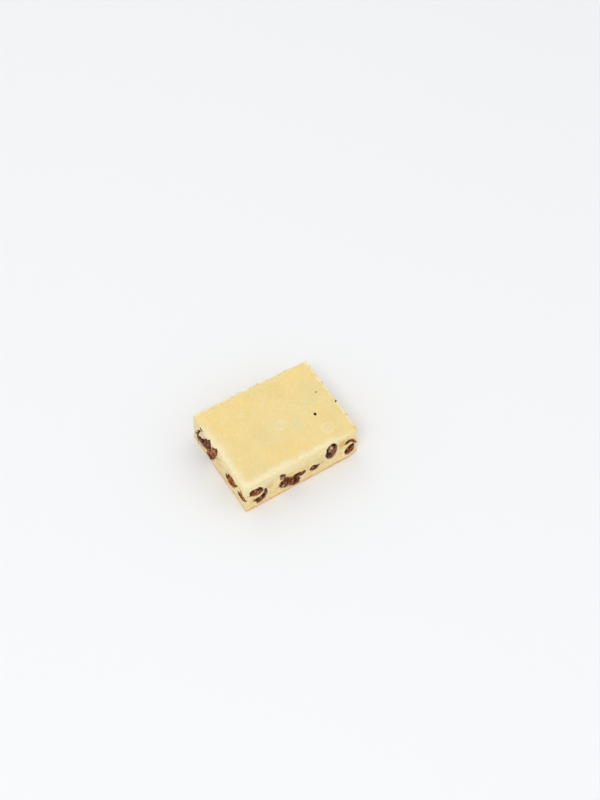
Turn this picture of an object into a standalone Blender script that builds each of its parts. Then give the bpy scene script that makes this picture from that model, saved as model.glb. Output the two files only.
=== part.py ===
"""A portion of baked curd cheese, cut by hand from a tray, with raisins showing in its cut sides.

X runs along the long cut side, Y along the short one and Z up. The block rests on z = 0.
"""

from dataclasses import dataclass
import math

import bmesh
import bpy
from mathutils import Matrix, Vector, noise

MM = 0.001

# The block
BLOCK_LENGTH = 80.0 * MM
BLOCK_WIDTH = 61.5 * MM
BLOCK_HEIGHT = 25.0 * MM

# How far each corner of the hand-cut block lies from a true box. The keys say which end of X, Y and Z.
CORNER_SHIFTS = {
    (-1, 1, 1): Vector((-0.3, 0.5, 0.0)) * MM,
    (1, 1, 1): Vector((0.3, -0.9, 0.0)) * MM,
    (1, -1, 1): Vector((-0.4, 0.5, 0.0)) * MM,
    (-1, -1, 1): Vector((0.2, 0.0, 0.0)) * MM,
    (-1, 1, -1): Vector((-0.3, 1.2, 0.0)) * MM,
    (1, 1, -1): Vector((0.6, 0.2, 0.0)) * MM,
    (1, -1, -1): Vector((0.8, -0.5, 0.0)) * MM,
    (-1, -1, -1): Vector((0.3, -0.9, 0.0)) * MM,
}

# Edges: the front and left top edges are smeared soft by the knife, the other two stay crisp.
# The squareness keeps the upright corners sharper than the edges: 2 is round, more is squarer.
SOFT_EDGE_RADIUS = 2.8 * MM
CRISP_EDGE_RADIUS = 0.9 * MM
BOTTOM_EDGE_RADIUS = 0.7 * MM
CORNER_SQUARENESS = 8.0
SOFT_FADE = 6.0
SOFT_END = 0.25

# The front right corner is worn round at the base, with a bite out of its upright edge
WORN_DEPTH = 1.0 * MM
WORN_REACH = 3.6 * MM
WORN_FADE_START = 6.0 * MM
WORN_FADE_END = 17.0 * MM
BITE_DEPTH = 1.8 * MM
BITE_REACH = 2.6 * MM
BITE_HEIGHT = 18.5 * MM
FRONT_RIGHT_INWARD = Vector((-1.0, 1.0, 0.0)).normalized()

# Surface relief
TOP_WAVE_HEIGHT = 0.45 * MM
TOP_WAVE_SPACING = 21.0 * MM
SIDE_CRUMB_HEIGHT = 0.40 * MM
SIDE_CRUMB_SPACING = 6.5 * MM
CHIP_DEPTH = 1.1 * MM
CHIP_SPACING = 5.0 * MM
CHIP_BAND = 0.12
CRUMB_OFFSET = Vector((7, 3, 5))
CHIP_OFFSET = Vector((2, 9, 4))
RING_HEIGHT = 0.25 * MM
RING_WALL = 1.6 * MM

# Where the top hands over to the sides, by the upward part of the outward direction, and where the
# relief fades out above the base, by the height from -1 to 1
EDGE_TURN = (0.5, 0.95)
BASE_FADE = (-1.0, -0.6)
RADIUS_FADE = (-0.6, 0.8)

# Broad blisters in the baked skin: place on the top, and radius of the raised ring
BLISTERS = (
    (Vector((0.8, -3.3, 0.0)) * MM, 3.5 * MM),
    (Vector((24.6, -20.6, 0.0)) * MM, 4.0 * MM),
)

# Cells along X, Y and Z, packed closer near the edges by this share
CELLS = (20, 16, 7)
FLAT_LIMIT = 0.03 * MM
EDGE_PACKING = 0.45

# Raisins
LARGE_RAISIN_FACETS = (12, 8)
SMALL_RAISIN_FACETS = (10, 6)
SMALL_RAISIN_LENGTH = 6.0
RAISIN_LUMP = 0.10
RAISIN_FOLD = 0.06
RAISIN_FOLDS = 5
RAISIN_LUMP_PITCH = 1.1
LUMP_STEP = Vector((3.7, 1.9, 5.3))
RAISIN_BASE_SIZE = 0.96
POCKET_GAP = 0.45 * MM

# Colours, as the linear RGB of a Principled shader, and roughness
CURD_ROUGHNESS = 0.6
SKIN_ROUGHNESS = 0.35
CURD_COLOUR = (0.84, 0.66, 0.34, 1.0)
DARK_SKIN = (0.055, 0.022, 0.016, 1.0)
RED_SKIN = (0.120, 0.034, 0.022, 1.0)
TORN_FLESH = (0.230, 0.085, 0.030, 1.0)


@dataclass(frozen=True)
class CutSide:
    """One vertical side of the block: the way it faces, and the way its places are counted."""

    outward: Vector
    along: Vector
    half_run: float


RIGHTWARDS = Vector((1, 0, 0))
BACKWARDS = Vector((0, 1, 0))
SIDES = {
    "front": CutSide(-BACKWARDS, RIGHTWARDS, BLOCK_LENGTH / 2),
    "left": CutSide(-RIGHTWARDS, BACKWARDS, BLOCK_WIDTH / 2),
    "back": CutSide(BACKWARDS, RIGHTWARDS, BLOCK_LENGTH / 2),
    "right": CutSide(RIGHTWARDS, BACKWARDS, BLOCK_WIDTH / 2),
}


@dataclass(frozen=True)
class Raisin:
    """A raisin in a cut side, in millimetres and degrees.

    along and height give the middle of the patch that shows in the side, and length and width its
    size. tilt turns its long axis up from the side's run. thick is the raisin's size across the cut,
    and proud the part of it that stands out of the cut.
    """

    side: str
    along: float
    height: float
    length: float
    width: float
    tilt: float
    thick: float
    proud: float
    colour: tuple

    def half_sizes(self):
        """Half of the raisin's length, width and thickness, worked out from the patch that shows."""
        half_thick = self.thick / 2
        share_showing = math.sqrt(1.0 - (1.0 - self.proud / half_thick) ** 2)
        across_cut = Vector((self.length, self.width, 0.0)) * (MM / 2 / share_showing)
        return across_cut + Vector((0.0, 0.0, half_thick * MM))


RAISINS = {
    "raisin_front_1": Raisin("front", -32.2, 15.0, 9.8, 7.2, -36, 4.6, 1.4, RED_SKIN),
    "raisin_front_2": Raisin("front", -29.2, 6.3, 9.8, 4.0, 47, 3.0, 0.8, DARK_SKIN),
    "raisin_front_3": Raisin("front", -13.2, 7.3, 7.2, 6.2, -30, 4.4, 1.2, DARK_SKIN),
    "raisin_front_4": Raisin("front", -5.4, 5.0, 7.2, 5.8, -40, 4.6, 1.5, RED_SKIN),
    "raisin_front_5": Raisin("front", -13.8, 15.8, 4.8, 3.4, 56, 2.8, 0.7, DARK_SKIN),
    "raisin_front_6": Raisin("front", -0.6, 9.0, 4.8, 3.6, 31, 2.8, 0.7, DARK_SKIN),
    "raisin_front_7": Raisin("front", 7.8, 7.7, 5.8, 4.4, -10, 3.0, 0.7, DARK_SKIN),
    "raisin_front_8": Raisin("front", 20.6, 15.4, 13.8, 7.8, 86, 6.4, 2.0, DARK_SKIN),
    "raisin_front_9": Raisin("front", 33.6, 7.4, 8.6, 6.6, 57, 4.8, 1.4, RED_SKIN),
    "raisin_left_1": Raisin("left", 21.4, 12.2, 14.2, 8.6, -60, 6.8, 2.5, DARK_SKIN),
    "raisin_left_2": Raisin("left", 20.4, 21.7, 3.4, 2.2, -9, 2.4, 0.6, DARK_SKIN),
    "raisin_left_3": Raisin("left", 13.2, 10.8, 8.0, 4.6, -68, 5.0, 1.7, RED_SKIN),
    "raisin_left_4": Raisin("left", 9.9, 5.6, 7.6, 6.4, -10, 5.2, 1.8, RED_SKIN),
    "raisin_left_5": Raisin("left", 6.2, 17.0, 6.8, 3.8, 80, 3.2, 0.8, TORN_FLESH),
    "raisin_left_6": Raisin("left", -12.6, 8.8, 11.4, 6.6, -6, 5.2, 1.6, RED_SKIN),
    "raisin_left_7": Raisin("left", -24.8, 8.2, 8.0, 3.6, -3, 3.0, 0.8, DARK_SKIN),
    "raisin_back_1": Raisin("back", -30.0, 8.8, 9.4, 6.2, 24, 5.0, 1.4, DARK_SKIN),
    "raisin_back_2": Raisin("back", -18.6, 15.0, 7.2, 5.0, -38, 4.2, 1.1, RED_SKIN),
    "raisin_back_3": Raisin("back", -7.6, 6.6, 11.0, 6.6, 8, 5.4, 1.8, DARK_SKIN),
    "raisin_back_4": Raisin("back", 3.2, 15.4, 5.2, 3.6, 62, 3.0, 0.7, DARK_SKIN),
    "raisin_back_5": Raisin("back", 13.4, 8.2, 8.8, 5.6, -56, 4.8, 1.3, RED_SKIN),
    "raisin_back_6": Raisin("back", 25.4, 14.0, 11.6, 7.4, 14, 6.0, 1.9, DARK_SKIN),
    "raisin_back_7": Raisin("back", 32.8, 4.8, 6.0, 4.2, -30, 3.4, 0.8, DARK_SKIN),
    "raisin_right_1": Raisin("right", -19.0, 13.6, 9.8, 6.6, 36, 5.2, 1.5, DARK_SKIN),
    "raisin_right_2": Raisin("right", -9.2, 5.6, 7.8, 4.8, -12, 4.0, 1.0, RED_SKIN),
    "raisin_right_3": Raisin("right", 0.4, 15.0, 5.2, 3.8, 66, 3.0, 0.7, DARK_SKIN),
    "raisin_right_4": Raisin("right", 9.8, 7.4, 11.0, 7.0, -26, 5.6, 1.8, DARK_SKIN),
    "raisin_right_5": Raisin("right", 22.4, 14.0, 8.2, 5.6, 48, 4.6, 1.3, RED_SKIN),
}


def clear_scene():
    """Remove every object, so that only the model is left."""
    for item in list(bpy.data.objects):
        bpy.data.objects.remove(item, do_unlink=True)


def make_material(name, colour, roughness):
    """A Principled material of one colour and roughness."""
    material = bpy.data.materials.new(name)
    material.use_nodes = True
    shader = material.node_tree.nodes["Principled BSDF"]
    shader.inputs["Base Color"].default_value = colour
    shader.inputs["Roughness"].default_value = roughness
    shader.inputs["Metallic"].default_value = 0.0
    return material


def smooth_step(low, high, value):
    """Rise smoothly from 0 at low to 1 at high."""
    share = min(max((value - low) / (high - low), 0.0), 1.0)
    return share * share * (3.0 - 2.0 * share)


def soft_share(u, v):
    """How far a place belongs to the soft front and left edges: 1 there, 0 at the back and right."""
    return 1.0 / (1.0 + math.exp(SOFT_FADE * (u + v + SOFT_END)))


def edge_radius(u, v, w):
    """Edge radius at a place given by u, v and w, each from -1 to 1 across the block."""
    top = CRISP_EDGE_RADIUS + (SOFT_EDGE_RADIUS - CRISP_EDGE_RADIUS) * soft_share(u, v)
    return BOTTOM_EDGE_RADIUS + (top - BOTTOM_EDGE_RADIUS) * smooth_step(*RADIUS_FADE, w)


def corner_shift(u, v, w):
    """Blend the shifts of the eight corners at a place in the block."""
    shift = Vector((0, 0, 0))
    for (end_u, end_v, end_w), corner in CORNER_SHIFTS.items():
        shift += corner * ((1 + end_u * u) * (1 + end_v * v) * (1 + end_w * w) / 8)
    return shift


def block_point(u, v, w):
    """Place and outward direction on the smooth block, for a point of the cube from -1 to 1."""
    half = Vector((BLOCK_LENGTH / 2, BLOCK_WIDTH / 2, BLOCK_HEIGHT / 2))
    radius = edge_radius(u, v, w)
    corner = Vector((u * half.x, v * half.y, w * half.z))
    inner = Vector([min(max(c, radius - h), h - radius) for c, h in zip(corner, half)])
    away = corner - inner
    power = CORNER_SQUARENESS
    in_plan = (abs(away.x) ** power + abs(away.y) ** power) ** (1.0 / power)
    place = inner + away * (radius / math.hypot(in_plan, away.z)) + corner_shift(u, v, w)
    place.z += half.z
    return place, away.normalized()


def corner_wear(place):
    """How deep the front right upright edge is worn and bitten, as a fading depth round that edge."""
    edge = Vector((BLOCK_LENGTH / 2, -BLOCK_WIDTH / 2, 0.0))
    beside = (Vector((place.x, place.y, 0.0)) - edge).length
    low_down = 1.0 - smooth_step(WORN_FADE_START, WORN_FADE_END, place.z)
    beside_bite = math.hypot(beside, place.z - BITE_HEIGHT)
    worn = WORN_DEPTH * low_down * math.exp(-((beside / WORN_REACH) ** 2))
    return worn + BITE_DEPTH * math.exp(-((beside_bite / BITE_REACH) ** 2))


def blister_height(place):
    """Height of the raised rings in the baked skin."""
    total = 0.0
    for middle, radius in BLISTERS:
        away = (Vector((place.x, place.y, 0.0)) - middle).length
        total += RING_HEIGHT * math.exp(-(((away - radius) / RING_WALL) ** 2))
    return total


def relief(u, v, w, place, outward):
    """How far the curd stands out from the smooth block.

    The top has slow waves and blisters, the sides crumbs, and the crisp top edges lose chips. The
    relief dies out at the base, so that the underside stays flat.
    """
    top = smooth_step(*EDGE_TURN, outward.z)
    side = 1.0 - smooth_step(*EDGE_TURN, abs(outward.z))
    wave = TOP_WAVE_HEIGHT * noise.noise(place / TOP_WAVE_SPACING) + blister_height(place)
    crumb = SIDE_CRUMB_HEIGHT * noise.noise(place / SIDE_CRUMB_SPACING + CRUMB_OFFSET)
    chip = CHIP_DEPTH * max(noise.noise(place / CHIP_SPACING + CHIP_OFFSET), 0.0)
    near_top_edge = smooth_step(1.0 - CHIP_BAND, 1.0, w) * smooth_step(1.0 - CHIP_BAND, 1.0, max(u, v))
    at_crisp_edge = (1.0 - soft_share(u, v)) * near_top_edge
    return top * wave + side * smooth_step(*BASE_FADE, w) * crumb - at_crisp_edge * chip


def pack_towards_edges(share):
    """Bring evenly spaced places from -1 to 1 closer together near both ends."""
    return share * (1.0 + EDGE_PACKING * (1.0 - share * share) / 2)


def build_block(name):
    """The rounded, hand-cut block of curd, with its relief and a plain flat underside."""
    bm = bmesh.new()
    bmesh.ops.create_cube(bm, size=2.0)
    for axis, cells in enumerate(CELLS):
        runs = [e for e in bm.edges if abs(e.verts[0].co[axis] - e.verts[1].co[axis]) > 1.0]
        bmesh.ops.subdivide_edges(bm, edges=runs, cuts=cells - 1, use_grid_fill=True)
    for vertex in bm.verts:
        u, v, w = (pack_towards_edges(c) for c in vertex.co)
        place, outward = block_point(u, v, w)
        worn = FRONT_RIGHT_INWARD * corner_wear(place)
        vertex.co = place + outward * relief(u, v, w, place, outward) + worn
    underside = [f for f in bm.faces if all(c.co.z < FLAT_LIMIT for c in f.verts)]
    bmesh.ops.dissolve_faces(bm, faces=underside)
    bmesh.ops.recalc_face_normals(bm, faces=bm.faces)
    mesh = bpy.data.meshes.new(name)
    bm.to_mesh(mesh)
    bm.free()
    mesh.shade_smooth()
    block = bpy.data.objects.new(name, mesh)
    bpy.context.scene.collection.objects.link(block)
    mesh.materials.append(make_material("baked curd", CURD_COLOUR, CURD_ROUGHNESS))
    return block


def raisin_mesh(name, raisin, number, grow):
    """A lumpy, lengthwise folded raisin lying along X, its size increased all round by grow."""
    half = raisin.half_sizes() + Vector((grow, grow, grow))
    offset = LUMP_STEP * number
    small = raisin.length <= SMALL_RAISIN_LENGTH
    segments, rings = SMALL_RAISIN_FACETS if small else LARGE_RAISIN_FACETS
    turn = Matrix.Rotation(math.pi / 2, 4, "Y")
    bm = bmesh.new()
    bmesh.ops.create_uvsphere(bm, u_segments=segments, v_segments=rings, radius=1.0, matrix=turn)
    for vertex in bm.verts:
        way = vertex.co.normalized()
        around = math.atan2(way.z, way.y)
        fold = RAISIN_FOLD * math.cos(RAISIN_FOLDS * around + number) * (1.0 - way.x * way.x)
        lump = RAISIN_LUMP * noise.noise(way * RAISIN_LUMP_PITCH + offset)
        vertex.co = way * half * (RAISIN_BASE_SIZE + fold + lump)
    mesh = bpy.data.meshes.new(name)
    bm.to_mesh(mesh)
    bm.free()
    mesh.shade_smooth()
    return mesh


def raisin_pose(raisin):
    """Where a raisin lies: its long axis along the side and tilted, its thickness across the cut."""
    side = SIDES[raisin.side]
    share = raisin.along * MM / side.half_run
    w = 2.0 * raisin.height * MM / BLOCK_HEIGHT - 1.0
    on_cube = side.along * share + side.outward
    surface, _ = block_point(on_cube.x, on_cube.y, w)
    middle = surface + side.outward * (raisin.proud - raisin.thick / 2) * MM
    tilt = math.radians(raisin.tilt)
    up = Vector((0, 0, 1))
    long_way = side.along * math.cos(tilt) + up * math.sin(tilt)
    wide_way = side.outward.cross(long_way)
    turn = Matrix((long_way, wide_way, side.outward)).transposed().to_4x4()
    return Matrix.Translation(middle) @ turn


def place_object(name, mesh, pose, block):
    """Link a mesh as an object in its place, carried by the block."""
    item = bpy.data.objects.new(name, mesh)
    bpy.context.scene.collection.objects.link(item)
    item.matrix_world = pose
    item.parent = block
    return item


def build_raisins(block):
    """Every raisin, and the pockets that hold them, cut into the block by one Boolean."""
    pockets = bpy.data.collections.new("pockets")
    bpy.context.scene.collection.children.link(pockets)
    for number, (name, raisin) in enumerate(RAISINS.items(), start=1):
        pose = raisin_pose(raisin)
        body = place_object(name, raisin_mesh(name, raisin, number, 0.0), pose, block)
        body.data.materials.append(make_material(name + " skin", raisin.colour, SKIN_ROUGHNESS))
        cutter_name = name + "_pocket"
        cutter_mesh = raisin_mesh(cutter_name, raisin, number, POCKET_GAP)
        cutter = place_object(cutter_name, cutter_mesh, pose, block)
        cutter.hide_render = True
        cutter.display_type = "WIRE"
        bpy.context.scene.collection.objects.unlink(cutter)
        pockets.objects.link(cutter)
    cut = block.modifiers.new("raisin pockets", "BOOLEAN")
    cut.operation = "DIFFERENCE"
    cut.operand_type = "COLLECTION"
    cut.collection = pockets
    cut.solver = "EXACT"


def centre_on_origin(block):
    """Move the block, and with it the raisins, so that the whole is centred over the origin."""
    bpy.context.view_layer.update()
    solids = [block] + [bpy.data.objects[name] for name in RAISINS]
    points = [item.matrix_world @ vertex.co for item in solids for vertex in item.data.vertices]
    for axis in (0, 1):
        low = min(point[axis] for point in points)
        high = max(point[axis] for point in points)
        block.location[axis] -= (low + high) / 2


def main():
    clear_scene()
    block = build_block("curd_bake")
    build_raisins(block)
    centre_on_origin(block)


main()
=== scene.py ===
"""A hand-cut portion of baked curd cheese with raisins in its cut sides, on a plain pale table.

Every visible surface is worked out with numpy as a function of two parameters and set over the
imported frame: the block of curd stands for its node, and so does each raisin.
"""

import itertools
import logging
import math
from dataclasses import dataclass, field
from enum import Enum

import bpy
import numpy as np
from mathutils import Matrix, Vector


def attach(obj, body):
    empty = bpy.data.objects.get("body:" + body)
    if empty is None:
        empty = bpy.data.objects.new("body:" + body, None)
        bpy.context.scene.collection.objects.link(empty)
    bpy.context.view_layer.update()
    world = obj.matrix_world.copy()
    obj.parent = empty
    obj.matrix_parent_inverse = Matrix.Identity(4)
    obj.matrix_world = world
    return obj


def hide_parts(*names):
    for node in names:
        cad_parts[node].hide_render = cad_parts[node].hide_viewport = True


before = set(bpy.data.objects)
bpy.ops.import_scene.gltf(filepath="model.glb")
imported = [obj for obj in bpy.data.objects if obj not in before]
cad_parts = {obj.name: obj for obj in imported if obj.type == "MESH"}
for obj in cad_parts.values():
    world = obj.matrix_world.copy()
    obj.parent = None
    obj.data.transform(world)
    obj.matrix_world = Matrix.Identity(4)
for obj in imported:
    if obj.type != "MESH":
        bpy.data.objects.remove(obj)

Array = np.ndarray

MM = 0.001
UP = np.array([0.0, 0.0, 1.0])

log = logging.getLogger("curd_bake")


def linear(red: int, green: int, blue: int) -> tuple[float, float, float, float]:
    """Turn a colour picked on screen into the linear values that a shader takes.

    Args:
        red: Screen value from 0 to 255.
        green: Screen value from 0 to 255.
        blue: Screen value from 0 to 255.

    Returns:
        Linear red, green, blue and an alpha of one.
    """
    low_end, slope, shift, power = 0.04045, 12.92, 0.055, 2.4
    shares = (value / 255.0 for value in (red, green, blue))
    return (*(s / slope if s <= low_end else ((s + shift) / (1 + shift)) ** power for s in shares), 1.0)


def smooth_step(low: float, high: float, value: Array) -> Array:
    """Rise from 0 at low to 1 at high along 3t squared less 2t cubed.

    Args:
        low: Value where the rise starts.
        high: Value where it ends.
        value: Values to place on the rise.

    Returns:
        Shares from 0 to 1.
    """
    share = np.clip((value - low) / (high - low), 0.0, 1.0)
    return share * share * (3.0 - 2.0 * share)


def bell(away: Array, reach: float) -> Array:
    """Fade from 1 at zero distance: e to the power of minus the square of away over reach."""
    return np.exp(-((away / reach) ** 2))


def ring_bell(away: Array, middle: float, reach: float) -> Array:
    """Fade on both sides of a ring: a bell of how far a distance is from the ring's own."""
    return bell(away - middle, reach)


def unit(vectors: Array) -> Array:
    """Scale each vector to a length of one."""
    return vectors / np.maximum(np.linalg.norm(vectors, axis=-1, keepdims=True), 1e-12)


class Noise:
    """Seeded smooth noise on a lattice, from about -1 to 1.

    Each lattice point holds a random slope. A place takes the slopes of the eight lattice points
    round it, each times the way to the place, blended by a fifth-power fade in each direction.
    """

    PERIOD = 256
    GAIN = 1.7
    FAR = 9.0

    def __init__(self, seed: int) -> None:
        """Draw the lattice.

        Args:
            seed: Fixes every draw.
        """
        draw = np.random.default_rng(seed)
        self.order = draw.permutation(self.PERIOD)
        self.slopes = unit(draw.normal(size=(self.PERIOD, 3)))
        self.spots = draw.random((self.PERIOD, 3))

    def _keys(self, lattice: Array) -> Array:
        """Hash lattice points to places in the tables."""
        key = self.order[lattice[:, 0] % self.PERIOD]
        key = self.order[(key + lattice[:, 1]) % self.PERIOD]
        return self.order[(key + lattice[:, 2]) % self.PERIOD]

    def __call__(self, points: Array) -> Array:
        """Read the noise.

        Args:
            points: Places, one a row, with lattice points one unit apart.

        Returns:
            One value for each place.
        """
        cell = np.floor(points).astype(int)
        part = points - cell
        fade = part**3 * (part * (part * 6.0 - 15.0) + 10.0)
        total = np.zeros(len(points))
        for corner in itertools.product((0, 1), repeat=3):
            weight = np.prod(np.where(corner, fade, 1.0 - fade), axis=1)
            slope = self.slopes[self._keys(cell + corner)]
            total += weight * np.sum((part - corner) * slope, axis=1)
        return total * self.GAIN

    def layered(self, points: Array, layers: int) -> Array:
        """Sum noise of halved size and strength, layer by layer."""
        return sum(self(points * 2.0**step + step) / 2.0**step for step in range(layers))

    def grains(self, points: Array) -> tuple[Array, Array]:
        """Packed grains: one random spot in each lattice cell, and how far the two nearest are.

        Args:
            points: Places, one a row, with grains about one unit apart.

        Returns:
            Distance to the nearest spot and to the second nearest. Their difference is zero on the
            seam between two grains.
        """
        cell = np.floor(points).astype(int)
        nearest = np.full(len(points), self.FAR)
        second = nearest.copy()
        for corner in itertools.product((-1, 0, 1), repeat=3):
            lattice = cell + corner
            away = np.linalg.norm(lattice + self.spots[self._keys(lattice)] - points, axis=1)
            second = np.minimum(second, np.maximum(nearest, away))
            nearest = np.minimum(nearest, away)
        return nearest, second


class Side(Enum):
    """A cut side of the block, by the way it faces."""

    FRONT = (0.0, -1.0, 0.0)
    LEFT = (-1.0, 0.0, 0.0)
    BACK = (0.0, 1.0, 0.0)
    RIGHT = (1.0, 0.0, 0.0)

    @property
    def outward(self) -> Array:
        """The way the side faces."""
        return np.array(self.value)

    @property
    def along(self) -> Array:
        """The way places are counted on the side: +X on the long sides, +Y on the short ones."""
        return np.array([abs(self.value[1]), abs(self.value[0]), 0.0])


def make_piece(
    name: str, points: Array, faces: list, marks: dict[str, Array]
) -> bpy.types.Object:
    """Put worked-out points and faces into a smooth mesh that moves with the whole part.

    Args:
        name: The piece's name.
        points: Places in millimetres, one a row.
        faces: Lists of point numbers.
        marks: Values for each point, by the name that the materials read.

    Returns:
        The new object, at the origin.
    """
    mesh = bpy.data.meshes.new(name)
    mesh.from_pydata((points * MM).tolist(), [], faces)
    mesh.update()
    mesh.shade_smooth()
    for mark, values in marks.items():
        layer = mesh.attributes.new(mark, "FLOAT", "POINT")
        layer.data.foreach_set("value", values.astype(np.float32))
    piece = bpy.data.objects.new(name, mesh)
    bpy.context.scene.collection.objects.link(piece)
    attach(piece, "root")
    return piece


class Graph:
    """A material's nodes, added one at a time by short calls."""

    def __init__(self, name: str) -> None:
        """Start a material with one Principled shader.

        Args:
            name: The material's name.
        """
        self.material = bpy.data.materials.new(name)
        self.material.use_nodes = True
        self.nodes = self.material.node_tree.nodes
        self.links = self.material.node_tree.links
        self.shader = self.nodes["Principled BSDF"]
        self.place = self.nodes.new("ShaderNodeTexCoord").outputs["Object"]

    def join(self, value: object, socket: bpy.types.NodeSocket) -> None:
        """Link a socket to another, or set a plain value on it.

        Args:
            value: A socket or a plain value.
            socket: Where it goes.
        """
        if isinstance(value, bpy.types.NodeSocket):
            self.links.new(value, socket)
        else:
            socket.default_value = value

    def mark(self, name: str) -> bpy.types.NodeSocket:
        """Read a value that the mesh carries.

        Args:
            name: The value's name.

        Returns:
            The value at each place.
        """
        node = self.nodes.new("ShaderNodeAttribute")
        node.attribute_name = name
        return node.outputs["Fac"]

    def noise(self, size: float, detail: float = 2.0) -> bpy.types.NodeSocket:
        """Noise with lumps of about the given size in metres.

        Args:
            size: Distance from lump to lump.
            detail: How many finer layers it has.

        Returns:
            A value from 0 to 1, mostly near a half.
        """
        node = self.nodes.new("ShaderNodeTexNoise")
        node.inputs["Scale"].default_value = 1.0 / size
        node.inputs["Detail"].default_value = detail
        self.links.new(self.place, node.inputs["Vector"])
        return node.outputs["Fac"]

    def spread(
        self, value: object, low: float, high: float, start: float = 0.0, end: float = 1.0
    ) -> bpy.types.NodeSocket:
        """Map values between low and high smoothly to start and end.

        Args:
            value: What to map.
            low: Value that gives start.
            high: Value that gives end.
            start: Result at low.
            end: Result at high.

        Returns:
            The mapped value.
        """
        node = self.nodes.new("ShaderNodeMapRange")
        node.interpolation_type = "SMOOTHSTEP"
        for name, number in zip(("From Min", "From Max", "To Min", "To Max"), (low, high, start, end)):
            node.inputs[name].default_value = number
        self.join(value, node.inputs["Value"])
        return node.outputs["Result"]

    def math(self, kind: str, first: object, second: object = 0.0) -> bpy.types.NodeSocket:
        """Work out one sum of two values.

        Args:
            kind: The sum, such as MULTIPLY or ADD.
            first: Its first value.
            second: Its second value.

        Returns:
            The sum's result.
        """
        node = self.nodes.new("ShaderNodeMath")
        node.operation = kind
        self.join(first, node.inputs[0])
        self.join(second, node.inputs[1])
        return node.outputs["Value"]

    def blend(self, share: object, first: object, second: object) -> bpy.types.NodeSocket:
        """Mix two colours.

        Args:
            share: 0 for the first colour, 1 for the second.
            first: A colour.
            second: Another colour.

        Returns:
            The mixed colour.
        """
        node = self.nodes.new("ShaderNodeMix")
        node.data_type = "RGBA"
        self.join(share, node.inputs["Factor"])
        self.join(first, node.inputs["A"])
        self.join(second, node.inputs["B"])
        return node.outputs["Result"]

    def tint(self, under: object, tone: tuple, mark: str, share: float) -> bpy.types.NodeSocket:
        """Lay a tone over a colour by the mesh's mark, up to a share where the mark is 1."""
        return self.blend(self.math("MULTIPLY", self.mark(mark), share), under, tone)

    def fleck(
        self, under: object, tone: tuple, pattern: object, low: float, high: float, share: float = 1.0
    ) -> bpy.types.NodeSocket:
        """Lay a tone over a colour, from none where a pattern is low up to a share where it is high."""
        return self.blend(self.spread(pattern, low, high, 0.0, share), under, tone)

    def bump(self, height: object, depth: float, under: object = None) -> bpy.types.NodeSocket:
        """Make fine relief.

        Args:
            height: Its height at each place, from 0 to 1.
            depth: What a height of 1 stands for, in metres.
            under: Another relief that it is laid over, if any.

        Returns:
            The relief's normal.
        """
        node = self.nodes.new("ShaderNodeBump")
        node.inputs["Strength"].default_value = 1.0
        node.inputs["Distance"].default_value = depth
        self.join(height, node.inputs["Height"])
        if under is not None:
            self.links.new(under, node.inputs["Normal"])
        return node.outputs["Normal"]

    def set(self, **values: object) -> None:
        """Set or link the shader's sockets, named with underscores for spaces."""
        for name, value in values.items():
            self.join(value, self.shader.inputs[name.replace("_", " ")])


def closed_ball(rows: int, columns: int) -> tuple[Array, list]:
    """Directions over a closed ball with its poles on X, and the faces that join them.

    A direction is (cos p, sin p cos t, sin p sin t), with p from one pole to the other in rows and
    t once round in columns. Each pole is one point.

    Args:
        rows: Steps from pole to pole.
        columns: Steps round.

    Returns:
        Unit directions, one a row, and faces that point outwards.
    """
    polar = np.linspace(0.0, math.pi, rows + 1)[1:-1, None]
    around = np.linspace(0.0, 2.0 * math.pi, columns, endpoint=False)[None, :]
    level = np.cos(polar) + 0.0 * around
    ring = np.stack([level, np.sin(polar) * np.cos(around), np.sin(polar) * np.sin(around)], axis=-1)
    ways = np.concatenate([[[1.0, 0.0, 0.0]], ring.reshape(-1, 3), [[-1.0, 0.0, 0.0]]])
    number = 1 + np.arange((rows - 1) * columns).reshape(rows - 1, columns)
    beside = np.roll(number, -1, axis=1)
    quads = np.stack([number[:-1], number[1:], beside[1:], beside[:-1]], axis=-1).reshape(-1, 4)
    first = np.zeros(columns, int)
    last = first + len(ways) - 1
    first_cap = np.stack([first, number[0], beside[0]], axis=-1)
    last_cap = np.stack([number[-1], last, beside[-1]], axis=-1)
    return ways, [*quads.tolist(), *first_cap.tolist(), *last_cap.tolist()]


class Skin(Enum):
    """How a raisin's skin looks."""

    DARK = "dark"
    RED = "red"
    TORN = "torn"


@dataclass(frozen=True)
class HighlightOrCoverSpot:
    """A spot on a raisin, where a highlight is painted or where curd is smeared over it: its middle along and
    across it, from -1 to 1, how far it reaches and how strong it is.
    """

    along: float
    across: float
    reach: float
    strength: float = 1.0

    def away(self, ways: Array) -> Array:
        """How far places on the raisin lie from the middle, with 1 at its reach."""
        return np.hypot(ways[:, 0] - self.along, ways[:, 1] - self.across) / self.reach


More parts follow.
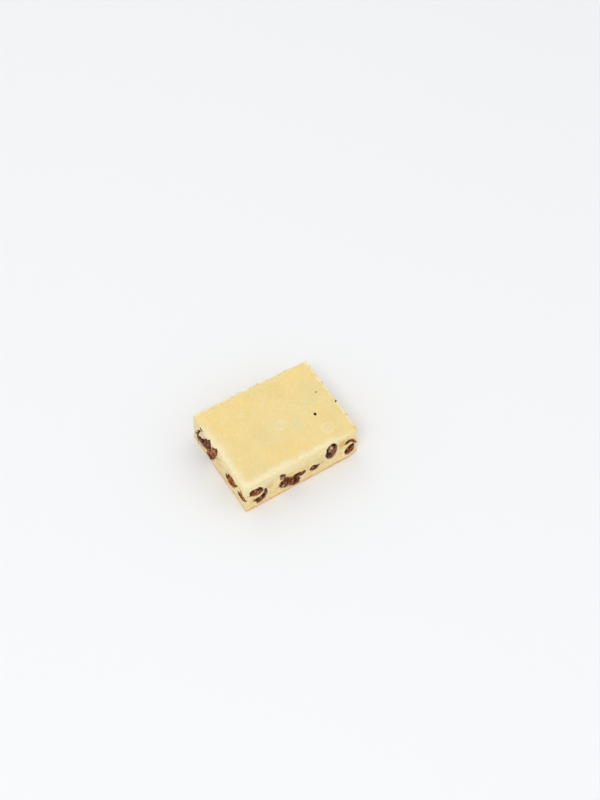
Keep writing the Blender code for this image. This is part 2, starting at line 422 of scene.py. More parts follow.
@dataclass(frozen=True)
class Raisin:
    """A raisin in a cut side, in millimetres and degrees.

    along and height give the middle of the patch that shows in the side, and length and width its size. tilt
    turns its long axis up from the side's run. thick is the raisin's size across the cut, and proud the part
    of it that stands out of the cut. wrinkle says how shrivelled it is. painted_highlights says where a
    highlight is painted on it, and covers where curd is smeared over it.
    """

    name: str
    side: Side
    along: float
    height: float
    length: float
    width: float
    tilt: float
    thick: float
    proud: float
    skin: Skin
    wrinkle: float = 1.0
    painted_highlights: tuple[HighlightOrCoverSpot, ...] = ()
    covers: tuple[HighlightOrCoverSpot, ...] = ()

    @property
    def half(self) -> Array:
        """Half of the length, width and thickness, worked out from the patch that shows."""
        half_thick = self.thick / 2
        share = math.sqrt(1.0 - (1.0 - self.proud / half_thick) ** 2)
        return np.array([self.length / 2 / share, self.width / 2 / share, half_thick])

    @property
    def axes(self) -> Array:
        """The raisin's long, wide and outward directions, one a row."""
        tilt = math.radians(self.tilt)
        long_way = self.side.along * math.cos(tilt) + UP * math.sin(tilt)
        return np.array([long_way, np.cross(self.side.outward, long_way), self.side.outward])

    def painted_highlight_share(self, ways: Array) -> Array:
        """The strength of the painted highlights at places on the raisin: the sum of their bells, on its outer
        half.
        """
        bells = (painted_highlight.strength * bell(painted_highlight.away(ways), 1.0) for painted_highlight in self.painted_highlights)
        return np.clip(sum(bells, np.zeros(len(ways))), 0.0, 1.0) * (ways[:, 2] > 0)


# Painted highlights on the third and eighth front raisins
FRONT_3_HIGHLIGHTS = (HighlightOrCoverSpot(-0.35, -0.1, 0.3, 0.9), HighlightOrCoverSpot(-0.1, 0.5, 0.22, 0.6))
FRONT_8_HIGHLIGHTS = (HighlightOrCoverSpot(0.8, 0.2, 0.2, 0.9), HighlightOrCoverSpot(0.5, 0.45, 0.2, 0.6), HighlightOrCoverSpot(0.3, -0.2, 0.35, 0.15))
LEFT_1_COVERS = (HighlightOrCoverSpot(-1.1, 0.25, 0.42), HighlightOrCoverSpot(-1.0, -0.4, 0.4))

# For each side, each raisin's values in the order that its class names them, from along on
RAISIN_ROWS = {
    Side.FRONT: (
        (-32.2, 15.0, 9.8, 7.2, -36, 4.6, 1.4, Skin.RED),
        (-29.2, 6.3, 9.8, 4.0, 47, 3.0, 0.8, Skin.DARK),
        (-13.2, 7.3, 7.2, 6.2, -30, 4.4, 1.2, Skin.DARK, 1.4, FRONT_3_HIGHLIGHTS),
        (-5.4, 5.0, 7.2, 5.8, -40, 4.6, 1.5, Skin.DARK, 1.2, (), (HighlightOrCoverSpot(0.9, 0.5, 0.5),)),
        (-13.8, 15.8, 4.8, 3.4, 56, 2.8, 0.7, Skin.DARK, 1.3, (HighlightOrCoverSpot(-0.3, 0.2, 0.45, 0.8),)),
        (-0.6, 9.0, 4.8, 3.6, 31, 2.8, 0.7, Skin.DARK, 1.3),
        (7.8, 7.7, 5.8, 4.4, -10, 3.0, 0.7, Skin.DARK),
        (20.6, 15.4, 13.8, 7.8, 86, 6.4, 2.0, Skin.DARK, 0.6, FRONT_8_HIGHLIGHTS),
        (33.6, 7.4, 8.6, 6.6, 57, 4.8, 1.4, Skin.RED, 0.8),
    ),
    Side.LEFT: (
        (21.4, 12.2, 14.2, 8.6, -60, 6.8, 2.5, Skin.DARK, 1.0, (), LEFT_1_COVERS),
        (20.4, 21.7, 3.4, 2.2, -9, 2.4, 0.6, Skin.DARK),
        (13.2, 10.8, 8.0, 4.6, -68, 5.0, 1.7, Skin.RED, 1.3),
        (9.9, 5.6, 7.6, 6.4, -10, 5.2, 1.8, Skin.RED, 1.2, (), (HighlightOrCoverSpot(-0.75, 0.7, 0.6),)),
        (6.2, 17.0, 6.8, 3.8, 80, 3.2, 0.8, Skin.TORN),
        (-12.6, 8.8, 11.4, 6.6, -6, 5.2, 1.6, Skin.RED),
        (-24.8, 8.2, 8.0, 3.6, -3, 3.0, 0.8, Skin.DARK),
    ),
    Side.BACK: (
        (-30.0, 8.8, 9.4, 6.2, 24, 5.0, 1.4, Skin.DARK),
        (-18.6, 15.0, 7.2, 5.0, -38, 4.2, 1.1, Skin.RED, 1.2),
        (-7.6, 6.6, 11.0, 6.6, 8, 5.4, 1.8, Skin.DARK, 0.8),
        (3.2, 15.4, 5.2, 3.6, 62, 3.0, 0.7, Skin.DARK, 1.3),
        (13.4, 8.2, 8.8, 5.6, -56, 4.8, 1.3, Skin.RED),
        (25.4, 14.0, 11.6, 7.4, 14, 6.0, 1.9, Skin.DARK, 0.6),
        (32.8, 4.8, 6.0, 4.2, -30, 3.4, 0.8, Skin.DARK, 1.2),
    ),
    Side.RIGHT: (
        (-19.0, 13.6, 9.8, 6.6, 36, 5.2, 1.5, Skin.DARK),
        (-9.2, 5.6, 7.8, 4.8, -12, 4.0, 1.0, Skin.RED, 1.2),
        (0.4, 15.0, 5.2, 3.8, 66, 3.0, 0.7, Skin.DARK, 1.3),
        (9.8, 7.4, 11.0, 7.0, -26, 5.6, 1.8, Skin.DARK, 0.7),
        (22.4, 14.0, 8.2, 5.6, 48, 4.6, 1.3, Skin.RED),
    ),
}
RAISINS = tuple(
    Raisin(f"raisin_{side.name.lower()}_{number}", side, *row)
    for side, rows in RAISIN_ROWS.items()
    for number, row in enumerate(rows, start=1)
)


def by_side(kind: type, table: dict[Side, tuple]) -> tuple:
    """Make one thing of a kind from each row of values that is listed for a side."""
    return tuple(kind(side, *row) for side, rows in table.items() for row in rows)


@dataclass(frozen=True)
class SideLine:
    """Something that runs along a cut side. Each stop gives a place along and up the side and the
    width there, in millimetres.
    """

    side: Side
    line: tuple[tuple[float, float, float], ...]

    def nearness(self, place: Array) -> Array:
        """How near each place lies to the line, from 0 to 1.

        Args:
            place: Places in millimetres, one a row.

        Returns:
            The highest bell of the way to any stretch of the line over half its width there.
        """
        spot = np.stack([place @ self.side.along, place[:, 2]], axis=1)
        nearest = np.zeros(len(place))
        for start, end in zip(np.array(self.line[:-1]), np.array(self.line[1:])):
            run = end[:2] - start[:2]
            share = np.clip((spot - start[:2]) @ run / (run @ run), 0.0, 1.0)
            away = np.linalg.norm(spot - start[:2] - share[:, None] * run, axis=1)
            half_width = (start[2] + share * (end[2] - start[2])) / 2
            nearest = np.maximum(nearest, bell(away / half_width, 1.0))
        return nearest


@dataclass(frozen=True)
class Streak(SideLine):
    """A crack or a smear of raisin juice: how deep it goes, and how dark it is from 0 to 1. In a crack the
    dark is painted shade; in a smear it is the juice.
    """

    depth: float
    dark: float


@dataclass(frozen=True)
class Shred(SideLine):
    """A strip of torn raisin skin, pressed into a cut side by the knife and standing proud of it."""

    skin: Skin
    proud: float = 0.45
    thick: float = 1.3


# The dark of the first two front streaks is painted shadow under and beside the curl over the raisin next to
# the front right corner
STREAK_ROWS = {
    Side.FRONT: (
        (((31.2, 15.0, 1.0), (33.6, 15.8, 1.6), (36.0, 14.6, 1.8), (38.4, 11.0, 1.4)), 0.8, 0.9),
        (((37.8, 11.6, 0.9), (37.4, 8.2, 0.9), (36.8, 5.6, 0.7)), 0.5, 0.8),
        (((-12.4, 14.2, 1.2), (-11.8, 11.8, 1.1)), 0.3, 0.8),
        (((-13.2, 4.0, 1.0), (-10.6, 3.0, 1.0), (-8.4, 2.4, 0.8)), 0.4, 0.6),
        (((11.4, 8.4, 1.4), (13.8, 8.4, 0.7)), 0.2, 0.5),
        (((-19.0, 7.4, 0.5), (-16.8, 8.0, 0.9)), 0.3, 0.7),
    ),
    Side.LEFT: (
        (((32.0, 7.4, 1.4), (30.6, 6.2, 1.6), (28.2, 7.4, 1.8), (26.0, 11.4, 1.8)), 0.9, 1.0),
        (((23.6, 15.2, 1.4), (25.6, 12.0, 1.8)), 0.5, 1.0),
        (((27.6, 8.0, 1.6), (27.4, 4.6, 1.5), (26.2, 1.6, 1.0)), 0.5, 0.85),
        (((4.8, 11.8, 0.8), (0.6, 15.0, 0.9), (-3.0, 17.4, 0.5)), 0.3, 0.6),
        (((-8.4, 13.4, 0.6), (-10.4, 13.4, 1.2)), 0.3, 0.8),
        (((-19.6, 13.4, 1.0), (-22.2, 15.2, 0.6)), 0.3, 0.8),
    ),
    Side.BACK: (
        (((-13.6, 10.0, 0.9), (-11.6, 13.4, 1.1), (-14.6, 15.2, 0.8)), 0.4, 0.5),
        (((5.0, 13.6, 1.2), (8.4, 11.4, 0.8)), 0.3, 0.5),
    ),
    Side.RIGHT: (
        (((2.0, 13.0, 1.2), (4.4, 10.4, 1.0)), 0.4, 0.6),
    ),
}
STREAKS = by_side(Streak, STREAK_ROWS)

# The strip that curls over the raisin next to the front right corner
CURL = (
    (31.2, 14.4, 1.8),
    (32.8, 15.2, 2.3),
    (34.2, 15.7, 2.1),
    (35.8, 15.1, 1.9),
    (37.4, 13.2, 1.4),
    (38.8, 10.4, 0.9),
)
SHRED_ROWS = {
    Side.FRONT: (
        (((-28.6, 6.8, 3.8), (-27.2, 8.0, 3.4), (-26.1, 10.2, 2.8), (-26.1, 13.6, 1.8)), Skin.DARK),
        (((-35.4, 14.0, 1.7), (-36.5, 14.2, 1.7), (-37.5, 14.4, 1.3)), Skin.RED, 0.4),
        (((-33.8, 7.0, 2.0), (-31.6, 6.0, 4.4), (-28.2, 6.2, 4.2)), Skin.DARK, 0.7, 1.6),
        (((-17.0, 8.2, 1.4), (-15.0, 9.8, 4.2), (-12.6, 11.0, 4.8), (-10.0, 9.8, 4.4)), Skin.DARK, 1.0, 2.0),
        (((-12.2, 6.6, 4.6), (-9.2, 7.2, 6.8), (-6.2, 7.6, 5.2)), Skin.RED, 1.0, 2.0),
        (((-6.0, 9.2, 3.4), (-3.2, 9.6, 4.2), (-0.2, 9.2, 3.6), (1.8, 9.6, 1.4)), Skin.DARK, 0.8, 1.6),
        (((-9.2, 3.6, 2.2), (-6.6, 3.2, 3.4), (-4.8, 4.6, 3.4), (-4.2, 7.2, 2.6)), Skin.DARK, 0.9, 1.8),
        (((-15.8, 17.4, 1.2), (-14.4, 18.2, 2.2), (-12.9, 17.0, 2.2), (-12.3, 14.8, 1.2)), Skin.DARK),
        (((7.6, 9.4, 2.8), (9.8, 8.4, 2.6), (12.2, 8.6, 0.9)), Skin.DARK),
        (CURL, Skin.DARK, 0.4, 1.1),
    ),
    Side.LEFT: (
        (((24.4, 4.4, 2.4), (21.6, 5.2, 4.4), (18.8, 6.4, 5.0), (16.2, 7.6, 4.6)), Skin.DARK, 0.5, 1.6),
        (((17.0, 6.4, 3.4), (15.6, 11.2, 6.0), (15.0, 15.6, 4.6), (15.2, 18.4, 2.2)), Skin.DARK, 0.7, 2.0),
        (((13.6, 8.4, 3.8), (12.6, 13.6, 5.8), (11.3, 18.8, 4.0), (10.3, 22.6, 2.0)), Skin.DARK, 0.6, 1.8),
        (((15.0, 1.8, 3.4), (12.0, 5.6, 6.0), (8.4, 10.4, 6.4), (5.2, 14.8, 4.4)), Skin.RED, 0.8, 2.0),
        (((6.2, 15.6, 2.8), (4.6, 18.6, 3.8), (3.2, 21.2, 2.8)), Skin.TORN, 0.6, 1.6),
        (((2.8, 22.6, 1.6), (2.1, 20.4, 2.0), (3.0, 17.2, 2.1), (5.0, 14.4, 2.2)), Skin.RED, 0.6, 1.4),
        (((-10.8, 13.4, 2.0), (-13.6, 12.6, 5.2), (-16.8, 11.8, 6.0), (-19.6, 12.6, 2.8)), Skin.RED, 0.8, 2.0),
        (((-24.0, 12.0, 1.6), (-26.4, 11.4, 3.8), (-29.0, 10.8, 3.4), (-31.0, 10.4, 1.4)), Skin.RED, 0.5),
    ),
    Side.BACK: (
        (((-26.4, 10.4, 4.2), (-24.2, 12.0, 4.0), (-22.2, 14.2, 2.2)), Skin.DARK, 0.7, 1.8),
        (((-2.6, 6.8, 4.8), (0.2, 8.2, 4.4), (2.4, 10.6, 2.4)), Skin.DARK, 0.8, 2.0),
        (((31.0, 10.8, 3.2), (33.2, 9.4, 3.4), (34.6, 6.8, 1.8)), Skin.RED, 0.6, 1.6),
    ),
    Side.RIGHT: (
        (((-14.8, 11.2, 4.2), (-12.2, 9.2, 4.0), (-10.2, 7.8, 2.4)), Skin.DARK, 0.8, 1.8),
        (((14.6, 9.2, 4.2), (17.0, 11.2, 4.0), (18.8, 12.8, 2.2)), Skin.DARK, 0.8, 1.8),
    ),
}
SHREDS = by_side(Shred, SHRED_ROWS)


@dataclass(frozen=True)
class Tinge:
    """A part of a cut side with another tone: its middle, length, width and tilt, and how strong."""

    side: Side
    along: float
    height: float
    length: float
    width: float
    tilt: float
    strength: float

    # How far out it starts and ends, with 1 at its own outline, and how ragged its edge is
    FADE = (1.3, 0.6)
    RAGGED = 0.45

    def share(self, place: Array, uneven: Array) -> Array:
        """How far places belong to it, with an edge that the noise makes ragged.

        Args:
            place: Places in millimetres, one a row.
            uneven: Noise at each place.

        Returns:
            Shares from 0 to its strength.
        """
        turn = math.radians(self.tilt)
        run = place @ self.side.along - self.along
        rise = place[:, 2] - self.height
        long_way = (run * math.cos(turn) + rise * math.sin(turn)) / (self.length / 2)
        wide_way = (rise * math.cos(turn) - run * math.sin(turn)) / (self.width / 2)
        away = np.hypot(long_way, wide_way) + self.RAGGED * uneven
        return self.strength * smooth_step(*self.FADE, away)


JUICE_STAIN_ROWS = {
    Side.FRONT: (
        (28.9, 16.6, 8.0, 7.4, 20.0, 1.0),
        (-22.6, 14.2, 4.8, 3.6, 30.0, 0.5),
        (-35.0, 8.6, 4.6, 6.4, 0.0, 0.45),
        (3.8, 12.0, 4.6, 3.4, 20.0, 0.45),
        (-8.6, 14.8, 7.0, 3.4, -10.0, 0.35),
        (14.6, 9.6, 4.4, 2.6, 20.0, 0.4),
    ),
    Side.LEFT: (
        (1.0, 11.0, 5.0, 5.0, 40.0, 0.35),
        (-24.0, 15.4, 5.0, 3.4, -20.0, 0.4),
    ),
    Side.BACK: (
        (-24.0, 6.4, 5.6, 4.4, 0.0, 0.4),
        (8.2, 12.4, 6.4, 4.4, -30.0, 0.5),
    ),
    Side.RIGHT: (
        (-3.0, 9.0, 6.0, 4.6, 30.0, 0.4),
    ),
}
JUICE_STAINS = by_side(Tinge, JUICE_STAIN_ROWS)
PALE_SMEAR_ROWS = {
    Side.LEFT: (
        (19.4, 14.6, 15.0, 8.0, -64.0, 1.0),
        (8.6, 18.8, 6.0, 3.4, -40.0, 0.7),
    ),
    Side.FRONT: (
        (-29.6, 9.2, 6.4, 2.6, 15.0, 0.9),
    ),
    Side.BACK: (
        (20.0, 18.4, 7.0, 4.0, 20.0, 0.6),
    ),
}
PALE_SMEARS = by_side(Tinge, PALE_SMEAR_ROWS)


@dataclass(frozen=True)
class Ring:
    """A broad flat blister in the baked skin: its middle on the top, the radius of its rim and how
    plainly it shows.
    """

    across: float
    along: float
    radius: float
    strength: float


@dataclass(frozen=True)
class Patch:
    """A part of the top that browned a little more, or stayed paler: its middle and its reach."""

    across: float
    along: float
    reach: float


WARM_PATCHES = (
    Patch(-35.0, 24.0, 9.0),
    Patch(-25.6, 22.0, 7.0),
    Patch(-27.7, 11.5, 6.0),
    Patch(-10.8, 24.0, 7.0),
    Patch(27.0, 24.0, 9.0),
    Patch(26.5, -5.4, 4.0),
    Patch(2.1, -23.6, 6.5),
    Patch(-18.8, -18.9, 7.0),
)
COOL_PATCHES = (
    Patch(29.5, 9.6, 7.0),
    Patch(24.7, 1.8, 5.5),
    Patch(10.6, -5.6, 4.5),
    Patch(9.6, -11.0, 4.5),
    Patch(-3.1, -0.7, 3.6),
    Patch(-11.2, -6.1, 7.0),
    Patch(-25.4, -21.9, 9.0),
    Patch(37.0, -12.0, 7.0),
    Patch(1.2, -3.5, 2.4),
)
PALE_PATCHES = (
    Patch(1.2, -3.5, 1.9),
    Patch(10.7, -9.3, 2.4),
    Patch(11.6, -6.8, 2.0),
    Patch(24.8, -20.3, 1.6),
)


@dataclass
class CurdBlock:
    """The hand-cut block of baked curd, in millimetres, with the middle of its underside at zero.

    Its form is a box with rounded edges, moved at the corners as the knife left them. The front and
    left top edges are smeared soft, the other two are crisp and chipped.

    A pair of values named a ring gives a distance, with 1 at a raisin's skin, and the reach of a bell
    round it. Any other pair says between which two values a share changes. A number added to a place
    as noise is read only sets that noise apart from the rest.
    """

    finish: "CurdFinish"
    raisins: tuple[Raisin, ...] = RAISINS
    streaks: tuple[Streak, ...] = STREAKS
    shreds: tuple[Shred, ...] = SHREDS
    size: tuple[float, float, float] = (80.0, 61.5, 25.0)
    cells: tuple[int, int, int] = (200, 154, 72)
    corner_shifts: dict = field(
        default_factory=lambda: {
            (-1, 1, 1): (-0.3, 0.5, 0.0),
            (1, 1, 1): (0.3, -0.9, 0.0),
            (1, -1, 1): (-0.4, 0.5, 0.0),
            (-1, -1, 1): (0.2, 0.0, 0.0),
            (-1, 1, -1): (-0.3, 1.2, 0.0),
            (1, 1, -1): (0.6, 0.2, 0.0),
            (1, -1, -1): (0.8, -0.5, 0.0),
            (-1, -1, -1): (0.3, -0.9, 0.0),
        }
    )
    # From the middle of the block to the middle of the whole part, which the raisins widen
    centring: tuple[float, float, float] = (0.27, -0.15, 0.0)
    soft_radius: float = 2.8
    crisp_radius: float = 0.9
    bottom_radius: float = 0.7
    squareness: float = 8.0
    soft_fade: float = 6.0
    soft_end: float = 0.25
    radius_fade: tuple[float, float] = (-0.6, 0.8)
    edge_turn: tuple[float, float] = (0.5, 0.95)
    base_fade: tuple[float, float] = (-1.0, -0.6)
    packing: float = 0.35
    # The underside's rounded rim, in steps inwards
    rim_steps: tuple[float, ...] = (0.2, 0.45, 0.75, 1.1)
    wave_height: float = 0.4
    wave_spacing: float = 21.0
    skin_height: float = 0.07
    skin_spacing: float = 1.9
    crumb_height: float = 0.36
    crumb_spacing: float = 6.5
    grit_height: float = 0.20
    grit_spacing: float = 1.6
    grain_depth: float = 0.16
    grain_size: float = 2.3
    pit_depth: float = 0.45
    pit_spacing: float = 3.4
    chip_depth: float = 1.0
    chip_spacing: float = 5.0
    chip_band: float = 0.12
    jag_height: float = 0.9
    jag_spacing: float = 1.7
    rings: tuple[Ring, ...] = (Ring(1.2, -3.5, 2.7, 0.85), Ring(24.8, -20.3, 3.5, 1.0))
    ring_height: float = 0.24
    ring_wall: float = 1.0
    worn_depth: float = 1.9
    worn_reach: float = 3.6
    worn_fade: tuple[float, float] = (2.0, 14.0)
    bite_depth: float = 1.8
    bite_reach: float = 2.6
    bite_height: float = 18.5
    socket_depth: float = 1.3
    groove_depth: float = 0.5
    rim_height: float = 0.26
    lip_height: float = 0.55
    cover_thick: float = 0.28
    foot_flare: float = 0.6
    foot_height: float = 5.0
    shred_bed: float = 0.6
    # How dark the painted shade is under the strips and where the curd meets a raisin
    shred_shade: float = 0.8
    contact_shade_strength: float = 0.75
    # The breaks in the blisters' rims, the coarse parts of the sides and where their details lie
    broken_edge: tuple[float, float] = (-0.5, 0.4)
    broken_spacing: float = 2.6
    broken_least: float = 0.25
    coarse_edge: tuple[float, float] = (-0.3, 0.4)
    coarse_spacing: float = 7.0
    coarse_least: float = 0.4
    seam_width: float = 0.35
    seam_edge: tuple[float, float] = (-0.1, 0.5)
    seam_spacing: float = 9.0
    pit_size: tuple[float, float] = (0.2, 0.1)
    pit_edge: tuple[float, float] = (-0.2, 0.3)
    pit_patches: float = 6.0
    jag_edge: tuple[float, float] = (-0.3, 0.5)
    jag_patches: float = 8.0
    # The beds of the raisins, and what shows round them
    bed_reach: float = 2.2
    bed_spacing: float = 2.6
    socket_edge: tuple[float, float] = (1.04, 0.86)
    lip_edge: tuple[float, float] = (0.12, 0.5)
    lip_ring: tuple[float, float] = (0.99, 0.10)
    groove_ring: tuple[float, float] = (1.0, 0.07)
    rim_ring: tuple[float, float] = (1.2, 0.13)
    cover_edge: tuple[float, float] = (1.05, 0.9)
    cover_ragged: float = 0.25
    cover_fade: tuple[float, float] = (1.3, 1.0)
    smear_fade: tuple[float, float] = (1.25, 1.0)
    contact_shade_edge: tuple[float, float] = (1.08, 1.0)
    lip_hides: float = 0.8
    halo_ring: tuple[float, float] = (1.26, 0.16)
    juice_reach: float = 0.16
    # The streaks and the beds of the strips
    line_spacing: float = 1.4
    line_turn: tuple[float, float] = (0.3, 0.8)
    line_edge: tuple[float, float] = (0.1, 0.6)
    # Where its tones lie
    tone_spacing: float = 5.0
    turn_wander: float = 0.10
    soft_wander: float = 1.6
    crisp_wander: float = 0.7
    rise_wander: float = 1.5
    base_wander: float = 0.6
    band_share: float = 0.6
    soft_inset: tuple[float, float] = (0.2, 8.0)
    soft_turn: tuple[float, float] = (0.2, 0.8)
    crisp_inset: tuple[float, float] = (0.8, 2.5)
    crisp_turn: tuple[float, float] = (0.3, 0.8)
    band_turn: tuple[float, float] = (-0.1, 0.5)
    band_rise: tuple[float, float] = (13.0, 22.0)
    bottom_strip: tuple[float, float] = (2.6, 0.8)
    tinge_spacing: float = 3.4
    tinge_turn: tuple[float, float] = (0.2, 0.7)
    seed: int = 11
    # Worked out from the values above
    half: Array = field(init=False)
    noise: Noise = field(init=False)
    cube: Array = field(init=False)
    place: Array = field(init=False)
    outward: Array = field(init=False)
    shaped: Array = field(init=False)

    def __post_init__(self) -> None:
        """Work out what the methods share."""
        self.half = np.array(self.size) / 2
        self.noise = Noise(self.seed)

    def softness(self, cube: Array) -> Array:
        """How far a place belongs to the soft edges: 1 at the front and left, 0 at the back and right.

        Args:
            cube: Places on the cube from -1 to 1, one a row.

        Returns:
            1 / (1 + e to the power of fade times (u + v + end)).
        """
        return 1.0 / (1.0 + np.exp(self.soft_fade * (cube[:, 0] + cube[:, 1] + self.soft_end)))

    def smooth_form(self, cube: Array) -> tuple[Array, Array]:
        """Place and outward direction on the block before its relief.

        The cube's point is scaled to the box. Its way out of the box shrunk by the edge radius is
        set to that radius, measured in plan with a high power, so that the upright corners stay
        square. Then the corners' shifts are blended in by (1 + u)(1 + v)(1 + w) / 8.

        Args:
            cube: Places on the cube from -1 to 1, one a row.

        Returns:
            Places and unit directions, one a row.
        """
        top = self.crisp_radius + (self.soft_radius - self.crisp_radius) * self.softness(cube)
        rise = smooth_step(*self.radius_fade, cube[:, 2])
        radius = (self.bottom_radius + (top - self.bottom_radius) * rise)[:, None]
        corner = cube * self.half
        inner = np.clip(corner, radius - self.half, self.half - radius)
        away = corner - inner
        power = self.squareness
        in_plan = (np.abs(away[:, 0]) ** power + np.abs(away[:, 1]) ** power) ** (1.0 / power)
        place = inner + away * radius / np.hypot(in_plan, away[:, 2])[:, None]
        for end, shift in self.corner_shifts.items():
            place += np.prod(1.0 + cube * end, axis=1)[:, None] / 8.0 * shift
        place[:, 2] += self.half[2]
        return place, unit(away)

    def on_side(self, side: Side, along: Array, height: Array) -> Array:
        """Places on a cut side of the smooth form.

        Args:
            side: The cut side.
            along: How far along it each place is, in millimetres.
            height: How high up each place is, in millimetres.

        Returns:
            Places in millimetres, one a row.
        """
        run = (along / abs(side.along @ self.half))[:, None]
        level = (height / self.half[2] - 1.0)[:, None]
        place, _ = self.smooth_form(run * side.along + side.outward + level * UP)
        return place

    def raisin_middle(self, raisin: Raisin) -> Array:
        """The middle of a raisin, set back from the cut side so that its proud part stands out."""
        surface = self.on_side(raisin.side, np.array([raisin.along]), np.array([raisin.height]))
        return surface[0] + raisin.side.outward * (raisin.proud - raisin.thick / 2)

    def lattice(self) -> tuple[Array, list]:
        """A grid over the top and the sides of the cube, and the underside as rings and one flat face.

        Grid points are numbered through the whole lattice, so the sides share their edge points.

        Returns:
            Places on the cube from -1 to 1, one a row, and faces that point outwards.
        """
        count = np.array(self.cells)
        stride = np.array([(count[1] + 1) * (count[2] + 1), count[2] + 1, 1])
        quads = []
        for axis, end in ((0, 0), (0, 1), (1, 0), (1, 1), (2, 1)):
            first, second = (axis + 1) % 3, (axis + 2) % 3
            run, rise = np.meshgrid(np.arange(count[first]), np.arange(count[second]), indexing="ij")
            base = (end * count[axis] * stride[axis] + run * stride[first] + rise * stride[second]).ravel()
            loop = [base, base + stride[first], base + stride[first] + stride[second], base + stride[second]]
            quads.append(np.stack(loop if end else loop[::-1], axis=1))
        key, number = np.unique(np.concatenate(quads), return_inverse=True)
        quads = number.reshape(-1, 4)
        steps = np.stack(np.unravel_index(key, count + 1), axis=1)
        even = 2.0 * steps / count - 1.0
        cube = even * (1.0 + self.packing * (1.0 - even**2) / 2.0)
        border = np.flatnonzero(steps[:, 2] == 0)
        border = border[np.argsort(-np.arctan2(cube[border, 1], cube[border, 0]))]
        outer = border
        points, faces = [cube], quads.tolist()
        for step in self.rim_steps:
            inner = len(cube) + (len(points) - 1) * len(border) + np.arange(len(border))
            scale = 1.0 - step / self.half[:2]
            points.append(cube[border] * [*scale, 1.0])
            ring = [outer, np.roll(outer, -1), np.roll(inner, -1), inner]
            faces += np.stack(ring, axis=1).tolist()
            outer = inner
        faces.append(outer.tolist())
        return np.concatenate(points), faces

    def rim_rings(self, place: Array) -> Array:
        """The raised, broken rims of the blisters: a bell of the way to each circle.

        Args:
            place: Places on the smooth form.

        Returns:
            Shares from 0 to 1.
        """
        whole = smooth_step(*self.broken_edge, self.noise(place / self.broken_spacing + 8.0))
        broken = self.broken_least + (1.0 - self.broken_least) * whole
        total = np.zeros(len(place))
        for ring in self.rings:
            away = np.hypot(place[:, 0] - ring.across, place[:, 1] - ring.along) - ring.radius
            total += ring.strength * bell(away, self.ring_wall)
        return total * broken

    def corner_wear(self, place: Array) -> Array:
        """How deep the front right upright edge is worn low down, and bitten near the top.

        Args:
            place: Places on the smooth form.

        Returns:
            Depths in millimetres.
        """
        beside = np.hypot(place[:, 0] - self.half[0], place[:, 1] + self.half[1])
        low_down = 1.0 - smooth_step(*self.worn_fade, place[:, 2])
        bite = bell(np.hypot(beside, place[:, 2] - self.bite_height), self.bite_reach)
        return self.worn_depth * low_down * bell(beside, self.worn_reach) + self.bite_depth * bite

    def surface_relief(self, cube: Array, place: Array, outward: Array) -> Array:
        """How far the curd stands out from the smooth form.

        The top has slow waves, blister rims and a low orange-peel grain. The sides have crumbs,
        seams between grains and a few pits, which die out at the base. The crisp edges lose chips.

        Args:
            cube: Places on the cube from -1 to 1, one a row.
            place: Places on the smooth form.
            outward: Its outward directions.

        Returns:
            Heights in millimetres.
        """
        noise = self.noise
        top = smooth_step(*self.edge_turn, outward[:, 2])
        side = 1.0 - smooth_step(*self.edge_turn, np.abs(outward[:, 2]))
        wave = self.wave_height * noise(place / self.wave_spacing) + self.ring_height * self.rim_rings(place)
        wave += self.skin_height * noise.layered(place / self.skin_spacing, 2)
        crumb = self.crumb_height * noise.layered(place / self.crumb_spacing + 7.0, 3)
        coarse = smooth_step(*self.coarse_edge, noise(place / self.coarse_spacing + 12.0))
        coarse = self.coarse_least + (1.0 - self.coarse_least) * coarse
        crumb += self.grit_height * coarse * noise.layered(place / self.grit_spacing + 8.0, 2)
        nearest, second = noise.grains(place / self.grain_size)
        seams = 1.0 - smooth_step(0.0, self.seam_width, second - nearest)
        patches = smooth_step(*self.seam_edge, noise(place / self.seam_spacing + 3.0))
        spot, _ = noise.grains(place / self.pit_spacing + 5.0)
        pits = smooth_step(*self.pit_size, spot)
        pits *= smooth_step(*self.pit_edge, noise(place / self.pit_patches + 9.0))
        crumb -= self.grain_depth * seams * patches + self.pit_depth * pits
        near_top = smooth_step(1.0 - self.chip_band, 1.0, cube[:, 2])
        near_end = smooth_step(1.0 - self.chip_band, 1.0, np.maximum(cube[:, 0], cube[:, 1]))
        crisp = (1.0 - self.softness(cube)) * near_top * near_end
        chip = self.chip_depth * np.maximum(noise(place / self.chip_spacing + 2.0), 0.0)
        ragged = smooth_step(*self.jag_edge, noise(place / self.jag_patches + 6.0))
        chip += self.jag_height * ragged * noise.layered(place / self.jag_spacing + 4.0, 2)
        foot = self.foot_flare * bell(place[:, 2], self.foot_height)
        crumb *= smooth_step(*self.base_fade, cube[:, 2])
        return top * wave + side * (crumb + foot) - crisp * chip

